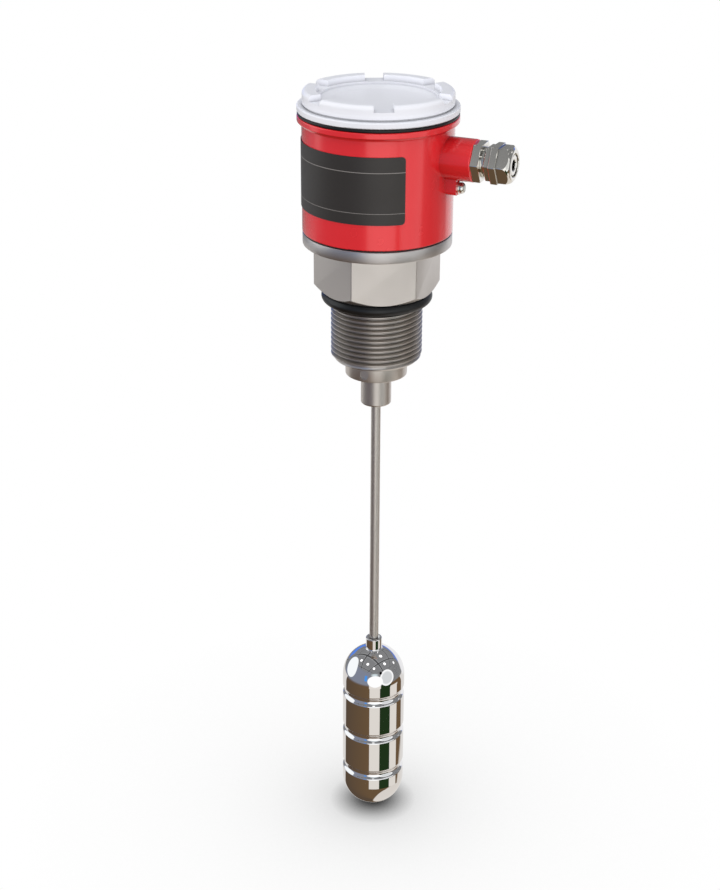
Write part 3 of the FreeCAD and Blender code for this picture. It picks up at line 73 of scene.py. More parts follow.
def linear(code: str) -> Colour:
    """Turn an sRGB hex colour into the linear one that shaders use.

    Args:
        code: the colour as "#rrggbb".

    Returns:
        Linear red, green and blue, with an alpha of 1.
    """
    parts = [int(code[i:i + 2], 16) / 255 for i in (1, 3, 5)]
    red, green, blue = (c / 12.92 if c <= 0.04045 else ((c + 0.055) / 1.055) ** 2.4 for c in parts)
    return red, green, blue, 1.0


def add_node(tree: bpy.types.NodeTree, kind: str, inputs: dict[str | int, object] | None = None,
             **settings: object) -> bpy.types.Node:
    """Add one node to a tree.

    Args:
        tree: the node tree that gets the node.
        kind: the node's type without its "ShaderNode" prefix.
        inputs: values for sockets, by name or number. An output socket is linked in.
        **settings: properties to set on the node first.

    Returns:
        The new node.
    """
    node = tree.nodes.new("ShaderNode" + kind)
    for name, value in settings.items():
        setattr(node, name, value)
    for name, value in (inputs or {}).items():
        if isinstance(value, bpy.types.NodeSocket):
            tree.links.new(value, node.inputs[name])
        else:
            node.inputs[name].default_value = value
    return node


class Slot(Enum):
    """The record's material slots, by name."""

    STAINLESS = "stainless"
    NICKEL = "nickel_plate"
    WHITE_PAINT = "white_paint"


class Combine(Enum):
    """How a second closed shape changes a first one."""

    CUT = "DIFFERENCE"
    COMMON = "INTERSECT"
    ADD = "UNION"


@dataclass(frozen=True)
class Finish:
    """A surface: a colour, a gloss and a fine relief worked out in millimetres.

    Attributes:
        name: the material's name, for what the real surface is.
        colour: base colour as sRGB hex.
        roughness: roughness of the smoother spots.
        rough_spread: how much rougher the rougher spots are.
        metal: 1 for a bare metal, 0 for paint, rubber and plastic.
        grain: size of the relief's grains, in millimetres.
        relief: height of the relief, in millimetres.
        patch: size of the slow changes of tone, in millimetres.
        tone: share by which the darker patches are darker.
        coat: weight of a clear coat over the base.
        coat_roughness: roughness of that coat.
        cavity_shade: reach in millimetres and strength of the painted shade in grooves and corners, or
            none.
        stretch: scale of the pattern along X, Y and Z, for brushed or turned marks.
    """

    name: str
    colour: str
    roughness: float
    rough_spread: float = 0.05
    metal: float = 0.0
    grain: float = 0.6
    relief: float = 0.004
    patch: float = 14.0
    tone: float = 0.05
    coat: float = 0.0
    coat_roughness: float = 0.12
    cavity_shade: tuple[float, float] | None = None
    stretch: tuple[float, float, float] = (1.0, 1.0, 1.0)

    def base(self, tree: bpy.types.NodeTree, place: bpy.types.NodeSocket,
             tone: bpy.types.NodeSocket) -> bpy.types.NodeSocket:
        """Mix the colour with a slightly darker one by the slow tone pattern, and paint shade into corners.

        Args:
            tree: the material's node tree.
            place: the object coordinates, for finishes that draw on them.
            tone: the slow pattern, from 0 to 1.

        Returns:
            The colour output.
        """
        lit = linear(self.colour)
        dark = tuple(c * (1 - self.tone) for c in lit[:3]) + (1.0,)
        mix = add_node(tree, "MixRGB", {"Fac": tone, "Color1": lit, "Color2": dark})
        if self.cavity_shade is None:
            return mix.outputs["Color"]
        # Painted shade: ambient occlusion darkens the colour in grooves and corners.
        reach, strength = self.cavity_shade
        open_share = add_node(tree, "AmbientOcclusion", {"Distance": reach * MM},
                              samples=8, only_local=True)
        shade = add_node(tree, "Math", {0: open_share.outputs["AO"], 1: strength}, operation="POWER")
        return add_node(tree, "VectorMath", {0: mix.outputs["Color"], "Scale": shade.outputs[0]},
                        operation="SCALE").outputs[0]

    def material(self) -> bpy.types.Material:
        """Build the material, or return it if it has been built before.

        Returns:
            The material.
        """
        known = bpy.data.materials.get(self.name)
        if known:
            return known
        made = bpy.data.materials.new(self.name)
        made.use_nodes = True
        tree = made.node_tree
        shader = tree.nodes["Principled BSDF"]
        place = add_node(tree, "TexCoord").outputs["Object"]
        stretched = add_node(tree, "Mapping", {"Vector": place, "Scale": self.stretch}).outputs["Vector"]
        slow = add_node(tree, "TexNoise", {"Vector": place, "Scale": 1 / (self.patch * MM), "Detail": 3.0})
        fine = add_node(tree, "TexNoise", {
            "Vector": stretched, "Scale": 1 / (self.grain * MM), "Detail": 2.0})
        rough = add_node(tree, "MapRange", {
            "Value": slow.outputs["Fac"], "From Min": NOISE_RANGE[0], "From Max": NOISE_RANGE[1],
            "To Min": self.roughness, "To Max": self.roughness + self.rough_spread})
        bump = add_node(tree, "Bump", {
            "Height": fine.outputs["Fac"], "Distance": self.relief * MM, "Strength": 1.0})
        tree.links.new(self.base(tree, place, slow.outputs["Fac"]), shader.inputs["Base Color"])
        tree.links.new(rough.outputs["Result"], shader.inputs["Roughness"])
        tree.links.new(bump.outputs["Normal"], shader.inputs["Normal"])
        shader.inputs["Metallic"].default_value = self.metal
        shader.inputs["Coat Weight"].default_value = self.coat
        shader.inputs["Coat Roughness"].default_value = self.coat_roughness
        return made


@dataclass(frozen=True)
class RuledFinish(Finish):
    """A finish with thin level lines across it, as a blank rating plate has.

    Attributes:
        lines: height and thickness of each line, in millimetres.
        line_colour: the lines' colour as sRGB hex.
    """

    lines: tuple[tuple[float, float], ...] = ()
    line_colour: str = "#8b8784"

    def base(self, tree: bpy.types.NodeTree, place: bpy.types.NodeSocket,
             tone: bpy.types.NodeSocket) -> bpy.types.NodeSocket:
        """Draw the lines over the plain colour.

        Args:
            tree: the material's node tree.
            place: the object coordinates.
            tone: the slow pattern, from 0 to 1.

        Returns:
            The colour output.
        """
        colour = super().base(tree, place, tone)
        height = add_node(tree, "SeparateXYZ", {"Vector": place}).outputs["Z"]
        for level, thickness in self.lines:
            line = add_node(tree, "Math", {0: height, 1: level * MM, 2: thickness / 2 * MM},
                            operation="COMPARE").outputs[0]
            colour = add_node(tree, "MixRGB", {
                "Fac": line, "Color1": colour, "Color2": linear(self.line_colour)}).outputs["Color"]
        return colour


# Cast housing in red enamel: even colour under a clear gloss, faint orange peel, and painted shade that
# makes it darker in corners.
RED_ENAMEL = Finish("red_enamel", "#f0262d", 0.24, 0.04, metal=0.12, grain=1.6, relief=0.001,
                    tone=0.03, coat=0.9, cavity_shade=(14.0, 0.7))
# Cast lid in white powder coat: cooler and flatter than the enamel, with the same peel, and painted shade
# in its grooves and corners.
WHITE_POWDER = Finish("white_powder_coat", "#f7f8fe", 0.36, 0.05, grain=1.2, relief=0.003,
                      tone=0.02, cavity_shade=(2.0, 0.45))
# Turned and bead-blasted stainless: pale satin grey with a fine even grain, and painted shade in grooves
# and corners.
BLASTED_STEEL = Finish("blasted_stainless", "#d9d3cd", 0.36, 0.05, metal=1.0, grain=0.45, relief=0.002,
                       tone=0.05, cavity_shade=(1.6, 0.7))
# Turned stainless rim of the flange: cooler than the blasted faces.
TURNED_STEEL = Finish("turned_stainless", "#d2cecc", 0.36, 0.05, metal=1.0, grain=0.5, relief=0.002,
                      tone=0.05)
# Centreless-ground stainless bar: satin with faint marks round the bar.
GROUND_STEEL = Finish("ground_stainless", "#ded9d3", 0.4, 0.05, metal=1.0, grain=0.8, relief=0.002,
                      tone=0.06, stretch=(0.2, 0.2, 4.0))
# Drawn and mirror-polished stainless shell: nearly a perfect mirror.
POLISHED_STEEL = Finish("polished_stainless", "#f1f0f0", 0.02, 0.02, metal=1.0, grain=9.0, relief=0.0006,
                        tone=0.02)
# Brass under bright nickel: warm mirror with a trace of polishing haze, and painted shade in its crevices.
BRIGHT_NICKEL = Finish("bright_nickel", "#f0ede6", 0.06, 0.03, metal=1.0, grain=2.0, relief=0.0004,
                       tone=0.03, cavity_shade=(1.2, 0.8))
# Zinc-plated steel of the lock nut, the bracket and the small screws: bluish grey, half dull.
ZINC_STEEL = Finish("zinc_plated_steel", "#b9bfc6", 0.3, 0.1, metal=1.0, grain=0.8, relief=0.003, tone=0.12)
# Plain brass: lever, clamp and earth screws, solder tabs.
BRASS = Finish("bare_brass", "#c9a45a", 0.28, 0.08, metal=1.0, grain=0.8, relief=0.003, tone=0.12)
# Nitrile rubber: near black, dull, slightly uneven.
RUBBER = Finish("nitrile_rubber", "#101112", 0.36, 0.1, grain=0.7, relief=0.004, tone=0.2)
# Dark printed film: grey-brown, half gloss, two thin ruled lines and nothing else.
PLATE_FILM = RuledFinish("dark_plate_film", "#322f2d", 0.42, 0.05, grain=0.8, relief=0.0015, tone=0.06,
                         lines=((68.25, 0.32), (50.4, 0.22)))
# Acetal washers: milky white and waxy.
ACETAL = Finish("white_acetal", "#e4e2dc", 0.35, 0.08, grain=1.0, relief=0.003)
# Sintered magnet: dark grey, granular.
MAGNET = Finish("sintered_magnet", "#4a4b4e", 0.4, 0.15, metal=0.7, grain=0.4, relief=0.006, tone=0.15)
# Phenolic case of the microswitch: dark brown-black moulding.
PHENOLIC = Finish("phenolic_case", "#26211f", 0.4, 0.1, grain=0.8, relief=0.004, tone=0.12)
# Moulded polyamide terminal block: dull grey-green.
POLYAMIDE = Finish("grey_polyamide", "#9aa39b", 0.45, 0.1, grain=0.7, relief=0.004)
# Moulded resin of the plunger: dull red.
PLUNGER_RESIN = Finish("red_plunger_resin", "#b0382e", 0.38, 0.1, grain=0.7, relief=0.003)

FINISH_BY_NODE = {
    "housing": RED_ENAMEL,
    "lid": WHITE_POWDER,
    "lid_seal": RUBBER,
    "base_gasket": RUBBER,
    "process_seal": RUBBER,
    "gland_seal": RUBBER,
    "rating_plate": PLATE_FILM,
    "connector_locknut": ZINC_STEEL,
    "arm_hub": BLASTED_STEEL,
    "pivot_pin": GROUND_STEEL,
    "float_rod": GROUND_STEEL,
    "float_neck": POLISHED_STEEL,
    "float_shell": POLISHED_STEEL,
    "gland_body": BRIGHT_NICKEL,
    "gland_nut": BRIGHT_NICKEL,
    "gland_slip_ring": BRIGHT_NICKEL,
    "earth_screw": BRIGHT_NICKEL,
    "earth_washer": BRIGHT_NICKEL,
    "inner_earth_screw": BRASS,
    "switch_bracket": ZINC_STEEL,
    "lever_pin": ZINC_STEEL,
    "microswitch_screws": ZINC_STEEL,
    "block_screws": ZINC_STEEL,
    "switch_lever": BRASS,
    "thrust_washers": ACETAL,
    "gland_washer": RUBBER,
    "arm_magnet": MAGNET,
    "lever_magnet": MAGNET,
    "microswitch": PHENOLIC,
    "switch_plunger": PLUNGER_RESIN,
    "switch_terminals": BRASS,
    "terminal_screws": BRASS,
    "terminal_block": POLYAMIDE,
}


def finish_piece(mesh: bmesh.types.BMesh, name: str, finish: Finish,
                 sharp: float = 32.0) -> bpy.types.Object:
    """Turn a bmesh into an object at the origin, shaded smooth between its sharp edges.

    Args:
        mesh: the shape, which is freed.
        name: the piece's name.
        finish: its finish.
        sharp: edges that turn by more than this many degrees stay sharp.

    Returns:
        The new object.
    """
    bmesh.ops.remove_doubles(mesh, verts=mesh.verts[:], dist=SAME_POINT)
    bmesh.ops.recalc_face_normals(mesh, faces=mesh.faces[:])
    for face in mesh.faces:
        face.smooth = True
    for edge in mesh.edges:
        edge.smooth = not (edge.is_manifold and edge.calc_face_angle(0.0) > math.radians(sharp))
    data = bpy.data.meshes.new(name)
    mesh.to_mesh(data)
    mesh.free()
    data.materials.append(finish.material())
    piece = bpy.data.objects.new(name, data)
    bpy.context.scene.collection.objects.link(piece)
    return piece


def turned(outline: Outline, steps: int = 144) -> bmesh.types.BMesh:
    """Spin an outline of radius and height about the Z axis.

    Args:
        outline: corners in metres. It closes on itself, or through the axis.
        steps: number of sides of the turned shape.

    Returns:
        The closed shape.
    """
    mesh = bmesh.new()
    corners = [mesh.verts.new((radius, 0.0, height)) for radius, height in outline]
    open_ended = outline[0][0] == 0 and outline[-1][0] == 0
    ends = corners[1:] if open_ended else corners[1:] + corners[:1]
    edges = [mesh.edges.new(pair) for pair in zip(corners, ends)]
    bmesh.ops.spin(mesh, geom=corners + edges, cent=(0, 0, 0), axis=(0, 0, 1), dvec=(0, 0, 0),
                   angle=math.tau, steps=steps, use_merge=True, use_duplicate=False)
    bmesh.ops.remove_doubles(mesh, verts=mesh.verts[:], dist=SAME_POINT)
    bmesh.ops.recalc_face_normals(mesh, faces=mesh.faces[:])
    return mesh


def boolean(target: bmesh.types.BMesh, tool: bmesh.types.BMesh, how: Combine) -> bmesh.types.BMesh:
    """Cut one closed shape with another, or add the other to it.

    Args:
        target: the shape that is kept, which is freed.
        tool: the shape that cuts it or is added, which is freed.
        how: what the tool does to the target.

    Returns:
        The result.
    """
    items = []
    for mesh in (target, tool):
        data = bpy.data.meshes.new("cutting")
        mesh.to_mesh(data)
        mesh.free()
        item = bpy.data.objects.new("cutting", data)
        bpy.context.scene.collection.objects.link(item)
        items.append(item)
    step = items[0].modifiers.new("cut", "BOOLEAN")
    step.operation = how.value
    step.solver = "EXACT"
    step.object = items[1]
    graph = bpy.context.evaluated_depsgraph_get()
    result = bmesh.new()
    result.from_mesh(items[0].evaluated_get(graph).data)
    for item in items:
        data = item.data
        bpy.data.objects.remove(item)
        bpy.data.meshes.remove(data)
    return result


def joined(shapes: list[bmesh.types.BMesh]) -> bmesh.types.BMesh:
    """Put several shapes into one bmesh.

    Args:
        shapes: the shapes, which are freed.

    Returns:
        One bmesh with all of them.
    """
    whole = bmesh.new()
    for shape in shapes:
        data = bpy.data.meshes.new("joining")
        shape.to_mesh(data)
        shape.free()
        whole.from_mesh(data)
        bpy.data.meshes.remove(data)
    return whole


def hexagon_bar(flats: float, low: float, high: float) -> bmesh.types.BMesh:
    """Extrude a hexagon along the Z axis.

    Args:
        flats: its width across flats.
        low: height of its lower end.
        high: height of its upper end.

    Returns:
        The closed bar.
    """
    bar = bmesh.new()
    bmesh.ops.create_circle(bar, cap_ends=True, segments=6, radius=flats / math.sqrt(3),
                            matrix=Matrix.Translation((0, 0, low)))
    grown = bmesh.ops.extrude_face_region(bar, geom=bar.faces[:])["geom"]
    bmesh.ops.translate(bar, verts=[v for v in grown if isinstance(v, bmesh.types.BMVert)],
                        vec=(0, 0, high - low))
    return bar


def break_edges(mesh: bmesh.types.BMesh, edges: list[bmesh.types.BMEdge], width: float,
                segments: int = 3) -> None:
    """Round off edges a little.

    Args:
        mesh: the shape.
        edges: its edges to round.
        width: width of the rounding on each face.
        segments: its number of facets.
    """
    bmesh.ops.bevel(mesh, geom=edges, offset=width, offset_type="OFFSET", segments=segments,
                    profile=0.5, affect="EDGES", material=-1)


def lay_along_gland(mesh: bmesh.types.BMesh) -> None:
    """Move a shape from the Z axis to the gland's axis, its upper end outwards along +X.

    Args:
        mesh: the shape.
    """
    turn = Matrix.Translation((0, 0, GLAND_LEVEL)) @ Matrix.Rotation(math.pi / 2, 4, "Y")
    bmesh.ops.transform(mesh, matrix=turn, verts=mesh.verts[:])


@dataclass
class ScrewThread:
    """An outside screw thread on the Z axis, cut square at both ends.

    Attributes:
        root: radius at the bottom of the thread.
        crest: radius at its top.
        pitch: distance between turns.
        low: height of its lower end.
        high: height of its upper end.
        flat: share of the pitch that the crest's and the root's flats take.
        lead: height of the lead-in cone at the lower end, or 0.
        lead_radius: radius of that cone at the end.
        steps: sides to a turn.
        wall: how far the ring reaches inwards from the thread's bottom.
    """

    root: float
    crest: float
    pitch: float
    low: float
    high: float
    flat: float = 0.14
    lead: float = 0.0
    lead_radius: float = 0.0
    steps: int = 120
    wall: float = 0.6 * MM

    def build(self) -> bmesh.types.BMesh:
        """Sweep one tooth round the axis, trim it and close it.

        The sweep starts two turns low and ends at least a turn high, and both are cut off.

        Returns:
            A closed ring with the thread on its outside.
        """
        mesh = bmesh.new()
        flat = self.flat * self.pitch
        profile = [(self.root, 0.0), (self.root, flat / 2), (self.crest, (self.pitch - flat) / 2),
                   (self.crest, (self.pitch + flat) / 2), (self.root, self.pitch - flat / 2),
                   (self.root, self.pitch)]
        base = self.low - self.pitch * 2
        corners = [mesh.verts.new((radius, 0.0, base + height)) for radius, height in profile]
        edges = [mesh.edges.new(pair) for pair in zip(corners, corners[1:])]
        turns = math.ceil((self.high - self.low) / self.pitch) + 3
        bmesh.ops.spin(mesh, geom=corners + edges, cent=(0, 0, 0), axis=(0, 0, 1),
                       dvec=(0, 0, self.pitch / self.steps), angle=math.tau * turns,
                       steps=self.steps * turns, use_merge=False, use_duplicate=False)
        bmesh.ops.remove_doubles(mesh, verts=mesh.verts[:], dist=SAME_POINT)
        for level, way in ((self.low, -1), (self.high, 1)):
            bmesh.ops.bisect_plane(mesh, geom=mesh.verts[:] + mesh.edges[:] + mesh.faces[:],
                                   plane_co=(0, 0, level), plane_no=(0, 0, way), clear_outer=True)
        if self.lead:
            slope = (self.crest - self.lead_radius) / self.lead
            for vert in mesh.verts:
                limit = self.lead_radius + (vert.co.z - self.low) * slope
                radius = vert.co.xy.length
                if radius > limit:
                    vert.co.xy *= limit / radius
        rims = [edge for edge in mesh.edges if edge.is_boundary]
        grown = bmesh.ops.extrude_edge_only(mesh, edges=rims)["geom"]
        inner = min(self.root, self.lead_radius or self.root) - self.wall
        for vert in (item for item in grown if isinstance(item, bmesh.types.BMVert)):
            vert.co.xy *= inner / vert.co.xy.length
        loops = [edge for edge in mesh.edges if edge.is_boundary]
        bmesh.ops.bridge_loops(mesh, edges=loops)
        return mesh


@dataclass
class Connector:
    """The turned stainless connector: spigot, flange, hexagon, pipe thread and pin collar.

    Attributes:
        tip_radius: radius of the thread's lead-in cone at its lower end.
        tip_height: height of that cone.
        undercut: radius of the neck inside the sealing ring.
        seal: height of the sealing ring, from the thread to the hexagon.
        hex_chamfer: radius where the hexagon's lower cone begins.
        hex_rise: how far that cone climbs at a corner.
        bore: radius of the wet bore, below the pressure web.
        pocket: radius of the dry pocket, above the web.
        edge: width of the broken edges.
        core_depth: how far the turned core stays inside the hexagon's flats.
        neck_depth: how far the turned neck stays inside the thread's bottom.
    """

    thread_radius: float = 20.955 * MM
    thread_root: float = 19.476 * MM
    thread_pitch: float = 2.309 * MM
    thread_length: float = 27.7 * MM
    tip_radius: float = 19.0 * MM
    tip_height: float = 1.9 * MM
    undercut: float = 20.0 * MM
    seal: float = 5.3 * MM
    hex_flats: float = 50.0 * MM
    hex_height: float = 22.5 * MM
    hex_chamfer: float = 24.7 * MM
    hex_rise: float = 3.3 * MM
    flange_radius: float = 33.6 * MM
    flange_thickness: float = 5.2 * MM
    collar_radius: float = 14.3 * MM
    collar_length: float = 7.8 * MM
    bore: float = 9.0 * MM
    pocket: float = 8.5 * MM
    web_low: float = -2.0 * MM
    web_high: float = 1.0 * MM
    spigot: float = 11.0 * MM
    spigot_top: float = 44.1 * MM
    pin_radius: float = 2.02 * MM
    pin_level: float = -32.0 * MM
    edge: float = 0.35 * MM
    core_depth: float = 0.3 * MM
    neck_depth: float = 0.1 * MM

    def body(self) -> bmesh.types.BMesh:
        """Turn the connector's body, without its hexagon and thread, and bore it for the pin.

        Returns:
            The closed body.
        """
        low = -self.thread_length
        end = low - self.collar_length
        flange = self.seal + self.hex_height
        top = flange + self.flange_thickness
        core = self.hex_flats / 2 - self.core_depth
        neck = self.thread_root - self.neck_depth - self.edge * 2
        mesh = turned([
            (0.0, self.web_low), (self.bore, self.web_low), (self.bore, end),
            (self.collar_radius, end), (self.collar_radius, low), (neck, low),
            (neck, -self.edge), (self.undercut, 0.0), (self.undercut, self.seal),
            (core, self.seal), (core, flange), (self.flange_radius, flange), (self.flange_radius, top),
            (self.spigot, top), (self.spigot, self.spigot_top), (self.pocket, self.spigot_top),
            (self.pocket, self.web_high), (0.0, self.web_high)])
        break_edges(mesh, [edge for edge in mesh.edges if self.is_outer_corner(edge)], self.edge)
        drill = bmesh.new()
        across = Matrix.Translation((0, 0, self.pin_level)) @ Matrix.Rotation(math.pi / 2, 4, "X")
        bmesh.ops.create_cone(drill, cap_ends=True, segments=48, radius1=self.pin_radius,
                              radius2=self.pin_radius, depth=self.collar_radius * 3, matrix=across)
        return boolean(mesh, drill, Combine.CUT)

    def is_outer_corner(self, edge: bmesh.types.BMEdge) -> bool:
        """Tell whether an edge runs round an outer corner of the flange or the collar.

        Args:
            edge: an edge of the turned body.

        Returns:
            True for the edges that are broken.
        """
        (level, radius), (other_level, other_radius) = ((v.co.z, v.co.xy.length) for v in edge.verts)
        round_axis = abs(level - other_level) < NEAR and abs(radius - other_radius) < NEAR
        on_flange = abs(radius - self.flange_radius) < NEAR
        on_collar = abs(radius - self.collar_radius) < NEAR and level < -self.thread_length - NEAR
        return round_axis and (on_flange or on_collar)

    def hexagon(self) -> bmesh.types.BMesh:
        """Mill the hexagon: a six-sided bar with soft corners, turned to a cone below.

        Returns:
            The closed hexagon.
        """
        low = self.seal
        high = self.seal + self.hex_height
        bar = hexagon_bar(self.hex_flats, low, high)
        posts = [edge for edge in bar.edges if abs(edge.verts[0].co.z - edge.verts[1].co.z) > MM]
        break_edges(bar, posts, self.edge)
        bmesh.ops.recalc_face_normals(bar, faces=bar.faces[:])
        corner = self.hex_flats / math.sqrt(3)
        reach = corner * 1.1
        rise = (reach - self.hex_chamfer) / (corner - self.hex_chamfer) * self.hex_rise
        blank = turned([(0.0, low), (self.hex_chamfer, low), (reach, low + rise), (reach, high + MM),
                        (0.0, high + MM)], steps=240)
        return boolean(bar, blank, Combine.COMMON)

    def build(self) -> None:
        """Join body, hexagon and thread into the piece that stands for the connector."""
        thread = ScrewThread(self.thread_root, self.thread_radius, self.thread_pitch,
                             -self.thread_length, 0.0, lead=self.tip_height,
                             lead_radius=self.tip_radius, steps=144)
        piece = finish_piece(joined([self.body(), self.hexagon(), thread.build()]), "threaded_connector",
                             BLASTED_STEEL)
        piece.data.materials.append(TURNED_STEEL.material())
        flange = self.seal + self.hex_height - self.edge / 2
        for face in piece.data.polygons:
            face.material_index = int(face.center.z > flange)
        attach(piece, "head")
        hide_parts("process_connector")
        LOG.info("connector: %d faces, %.3f mm thread pitch",
                 len(piece.data.polygons), self.thread_pitch / MM)


def arc(start: tuple[float, float], end: tuple[float, float], radius: float, steps: int = 8) -> Outline:
    """Round an outline from one corner to another, bulging away from the axis.

    Args:
        start: radius and height where the curve starts.
        end: radius and height where it ends, nearer to the axis and higher.
        radius: the curve's own radius.
        steps: number of straight steps.

    Returns:
        The corners along the curve, both ends included.
    """
    first, last = Vector(start), Vector(end)
    chord = last - first
    outward = Vector((chord.y, -chord.x)).normalized()
    centre = (first + last) / 2 - outward * math.sqrt(radius ** 2 - chord.length ** 2 / 4)
    low = math.atan2(first.y - centre.y, first.x - centre.x)
    high = math.atan2(last.y - centre.y, last.x - centre.x)
    angles = [low + (high - low) * i / steps for i in range(steps + 1)]
    return [(centre.x + radius * math.cos(a), centre.y + radius * math.sin(a)) for a in angles]


@dataclass
class Gland:
    """The bright cable gland: body, slip ring and dome nut, milled edges lightly broken.

    Names that end in start, end, step, hex or front are stations along the gland's axis.

    Attributes:
        flats: width of the two main hexagons across flats.
        rear_flats: the same for the nut's rear hexagon.
        front_flats: the same for the nut's front one, under the dome.
        thread: radius of the thread that screws into the housing.
        shoulder: radius of the collar between body and nut.
        front: radius of the body's front thread, and of the slip ring's flange.
        bore: radius of the hole through the body.
        seat: radius of the rubber seal's seat.
        dome_radius: radius where the nut's dome begins.
        dome_bulge: radius of the dome's curve.
        face_radius: radius of the nut's front face.
        nut_bore: radius of the nut's inside.
        mouth: radius of the nut's mouth.
        ring_nose: outer radius of the slip ring in the nut's mouth.
        ring_bore: radius of the slip ring's hole.
        broken: width of the broken edges.
        overlap: how far shapes run into each other before they are joined.
        flat_area: faces larger than this are shaded flat.
    """

    flats: float = 16.4 * MM
    rear_flats: float = 14.4 * MM
    front_flats: float = 15.2 * MM
    thread: float = 6.25 * MM
    thread_start: float = 37.1 * MM
    boss_end: float = 46.1 * MM
    hex_end: float = 49.8 * MM
    shoulder: float = 6.6 * MM
    shoulder_end: float = 51.3 * MM
    front: float = 5.9 * MM
    front_end: float = 58.3 * MM
    bore: float = 3.6 * MM
    seat: float = 4.72 * MM
    seat_start: float = 52.7 * MM
    nut_start: float = 51.8 * MM
    nut_hex: float = 54.3 * MM
    nut_front: float = 57.5 * MM
    dome_start: float = 60.6 * MM
    nut_end: float = 63.4 * MM
    dome_radius: float = 8.85 * MM
    dome_bulge: float = 4.2 * MM
    face_radius: float = 6.4 * MM
    nut_bore: float = 6.2 * MM
    lip_start: float = 60.8 * MM
    mouth: float = 5.1 * MM
    ring_start: float = 59.75 * MM
    ring_step: float = 60.75 * MM
    ring_end: float = 63.05 * MM
    ring_nose: float = 4.5 * MM
    ring_bore: float = 2.4 * MM
    broken: float = 0.22 * MM
    overlap: float = 0.6 * MM
    flat_area: float = 4.0 * MM * MM

    def hexagon(self, flats: float, low: float, high: float) -> bmesh.types.BMesh:
        """Mill one hexagon, its edges broken.

        Args:
            flats: its width across flats.
            low: station of its inner end.
            high: station of its outer end.

        Returns:
            The closed hexagon.
        """
        bar = hexagon_bar(flats, low, high)
        break_edges(bar, bar.edges[:], self.broken, segments=2)
        bmesh.ops.recalc_face_normals(bar, faces=bar.faces[:])
        return bar

    def place(self, mesh: bmesh.types.BMesh, name: str, body: str, node: str) -> None:
        """Turn a piece to the gland's axis, finish it and let it stand for its node.

        Args:
            mesh: the piece, built on the Z axis.
            name: the piece's name.
            body: the body that it moves with.
            node: the node that it stands for.
        """
        lay_along_gland(mesh)
        piece = finish_piece(mesh, name, BRIGHT_NICKEL)
        for face in piece.data.polygons:
            face.use_smooth = face.area < self.flat_area
        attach(piece, body)
        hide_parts(node)

    def fitting(self) -> bmesh.types.BMesh:
        """Make the body: a turned blank with its thread spigots, one hexagon, and the seal's seat.

        Returns:
            The closed body.
        """
        blank = turned([
            (0.0, self.thread_start), (self.thread, self.thread_start), (self.thread, self.boss_end),
            (self.shoulder, self.boss_end + self.overlap), (self.shoulder, self.shoulder_end),
            (self.front, self.shoulder_end), (self.front, self.front_end), (0.0, self.front_end)])
        solid = boolean(self.hexagon(self.flats, self.boss_end, self.hex_end), blank, Combine.ADD)
        hole = turned([
            (0.0, self.thread_start - MM), (self.bore, self.thread_start - MM),
            (self.bore, self.seat_start), (self.seat, self.seat_start),
            (self.seat, self.front_end + MM), (0.0, self.front_end + MM)])
        return boolean(solid, hole, Combine.CUT)

    def nut(self) -> bmesh.types.BMesh:
        """Make the dome nut: three hexagons in a row, the front one rounded to the mouth, and its bore.

        Returns:
            The closed nut.
        """
        dome = turned([
            (0.0, self.nut_front - self.overlap), (self.dome_radius, self.nut_front - self.overlap),
            *arc((self.dome_radius, self.dome_start), (self.face_radius, self.nut_end), self.dome_bulge),
            (0.0, self.nut_end)])
        front = self.hexagon(self.front_flats, self.nut_front - self.overlap * 1.5, self.nut_end + MM)
        nose = boolean(front, dome, Combine.COMMON)
        main = self.hexagon(self.flats, self.nut_hex, self.nut_front)
        rear = self.hexagon(self.rear_flats, self.nut_start, self.nut_hex + self.overlap)
        solid = boolean(boolean(main, rear, Combine.ADD), nose, Combine.ADD)
        rim = self.mouth + self.broken
        hole = turned([
            (0.0, self.nut_start - MM), (self.nut_bore, self.nut_start - MM),
            (self.nut_bore, self.lip_start), (self.mouth, self.lip_start),
            (self.mouth, self.nut_end - self.broken), (rim, self.nut_end),
            (rim, self.nut_end + MM), (0.0, self.nut_end + MM)])
        return boolean(solid, hole, Combine.CUT)

    def slip_ring(self) -> bmesh.types.BMesh:
        """Make the slip ring: a flange behind the nut's lip and a rounded nose in its mouth.

        Returns:
            The closed ring.
        """
        round_off = self.broken * 1.5
        return turned([
            (self.ring_bore, self.ring_start), (self.front, self.ring_start), (self.front, self.ring_step),
            (self.ring_nose, self.ring_step),
            *arc((self.ring_nose, self.ring_end - round_off), (self.ring_nose - round_off, self.ring_end),
                 round_off, 4),
            (self.ring_bore + round_off, self.ring_end), (self.ring_bore, self.ring_end - round_off)])

    def build(self) -> None:
        """Build the three bright pieces of the gland."""
        self.place(self.fitting(), "gland_fitting", "head", "gland_body")
        self.place(self.nut(), "gland_dome_nut", "gland_cap", "gland_nut")
        self.place(self.slip_ring(), "gland_ring", "gland_carrier", "gland_slip_ring")
        LOG.info("gland: hexagons %.1f mm across flats", self.flats / MM)


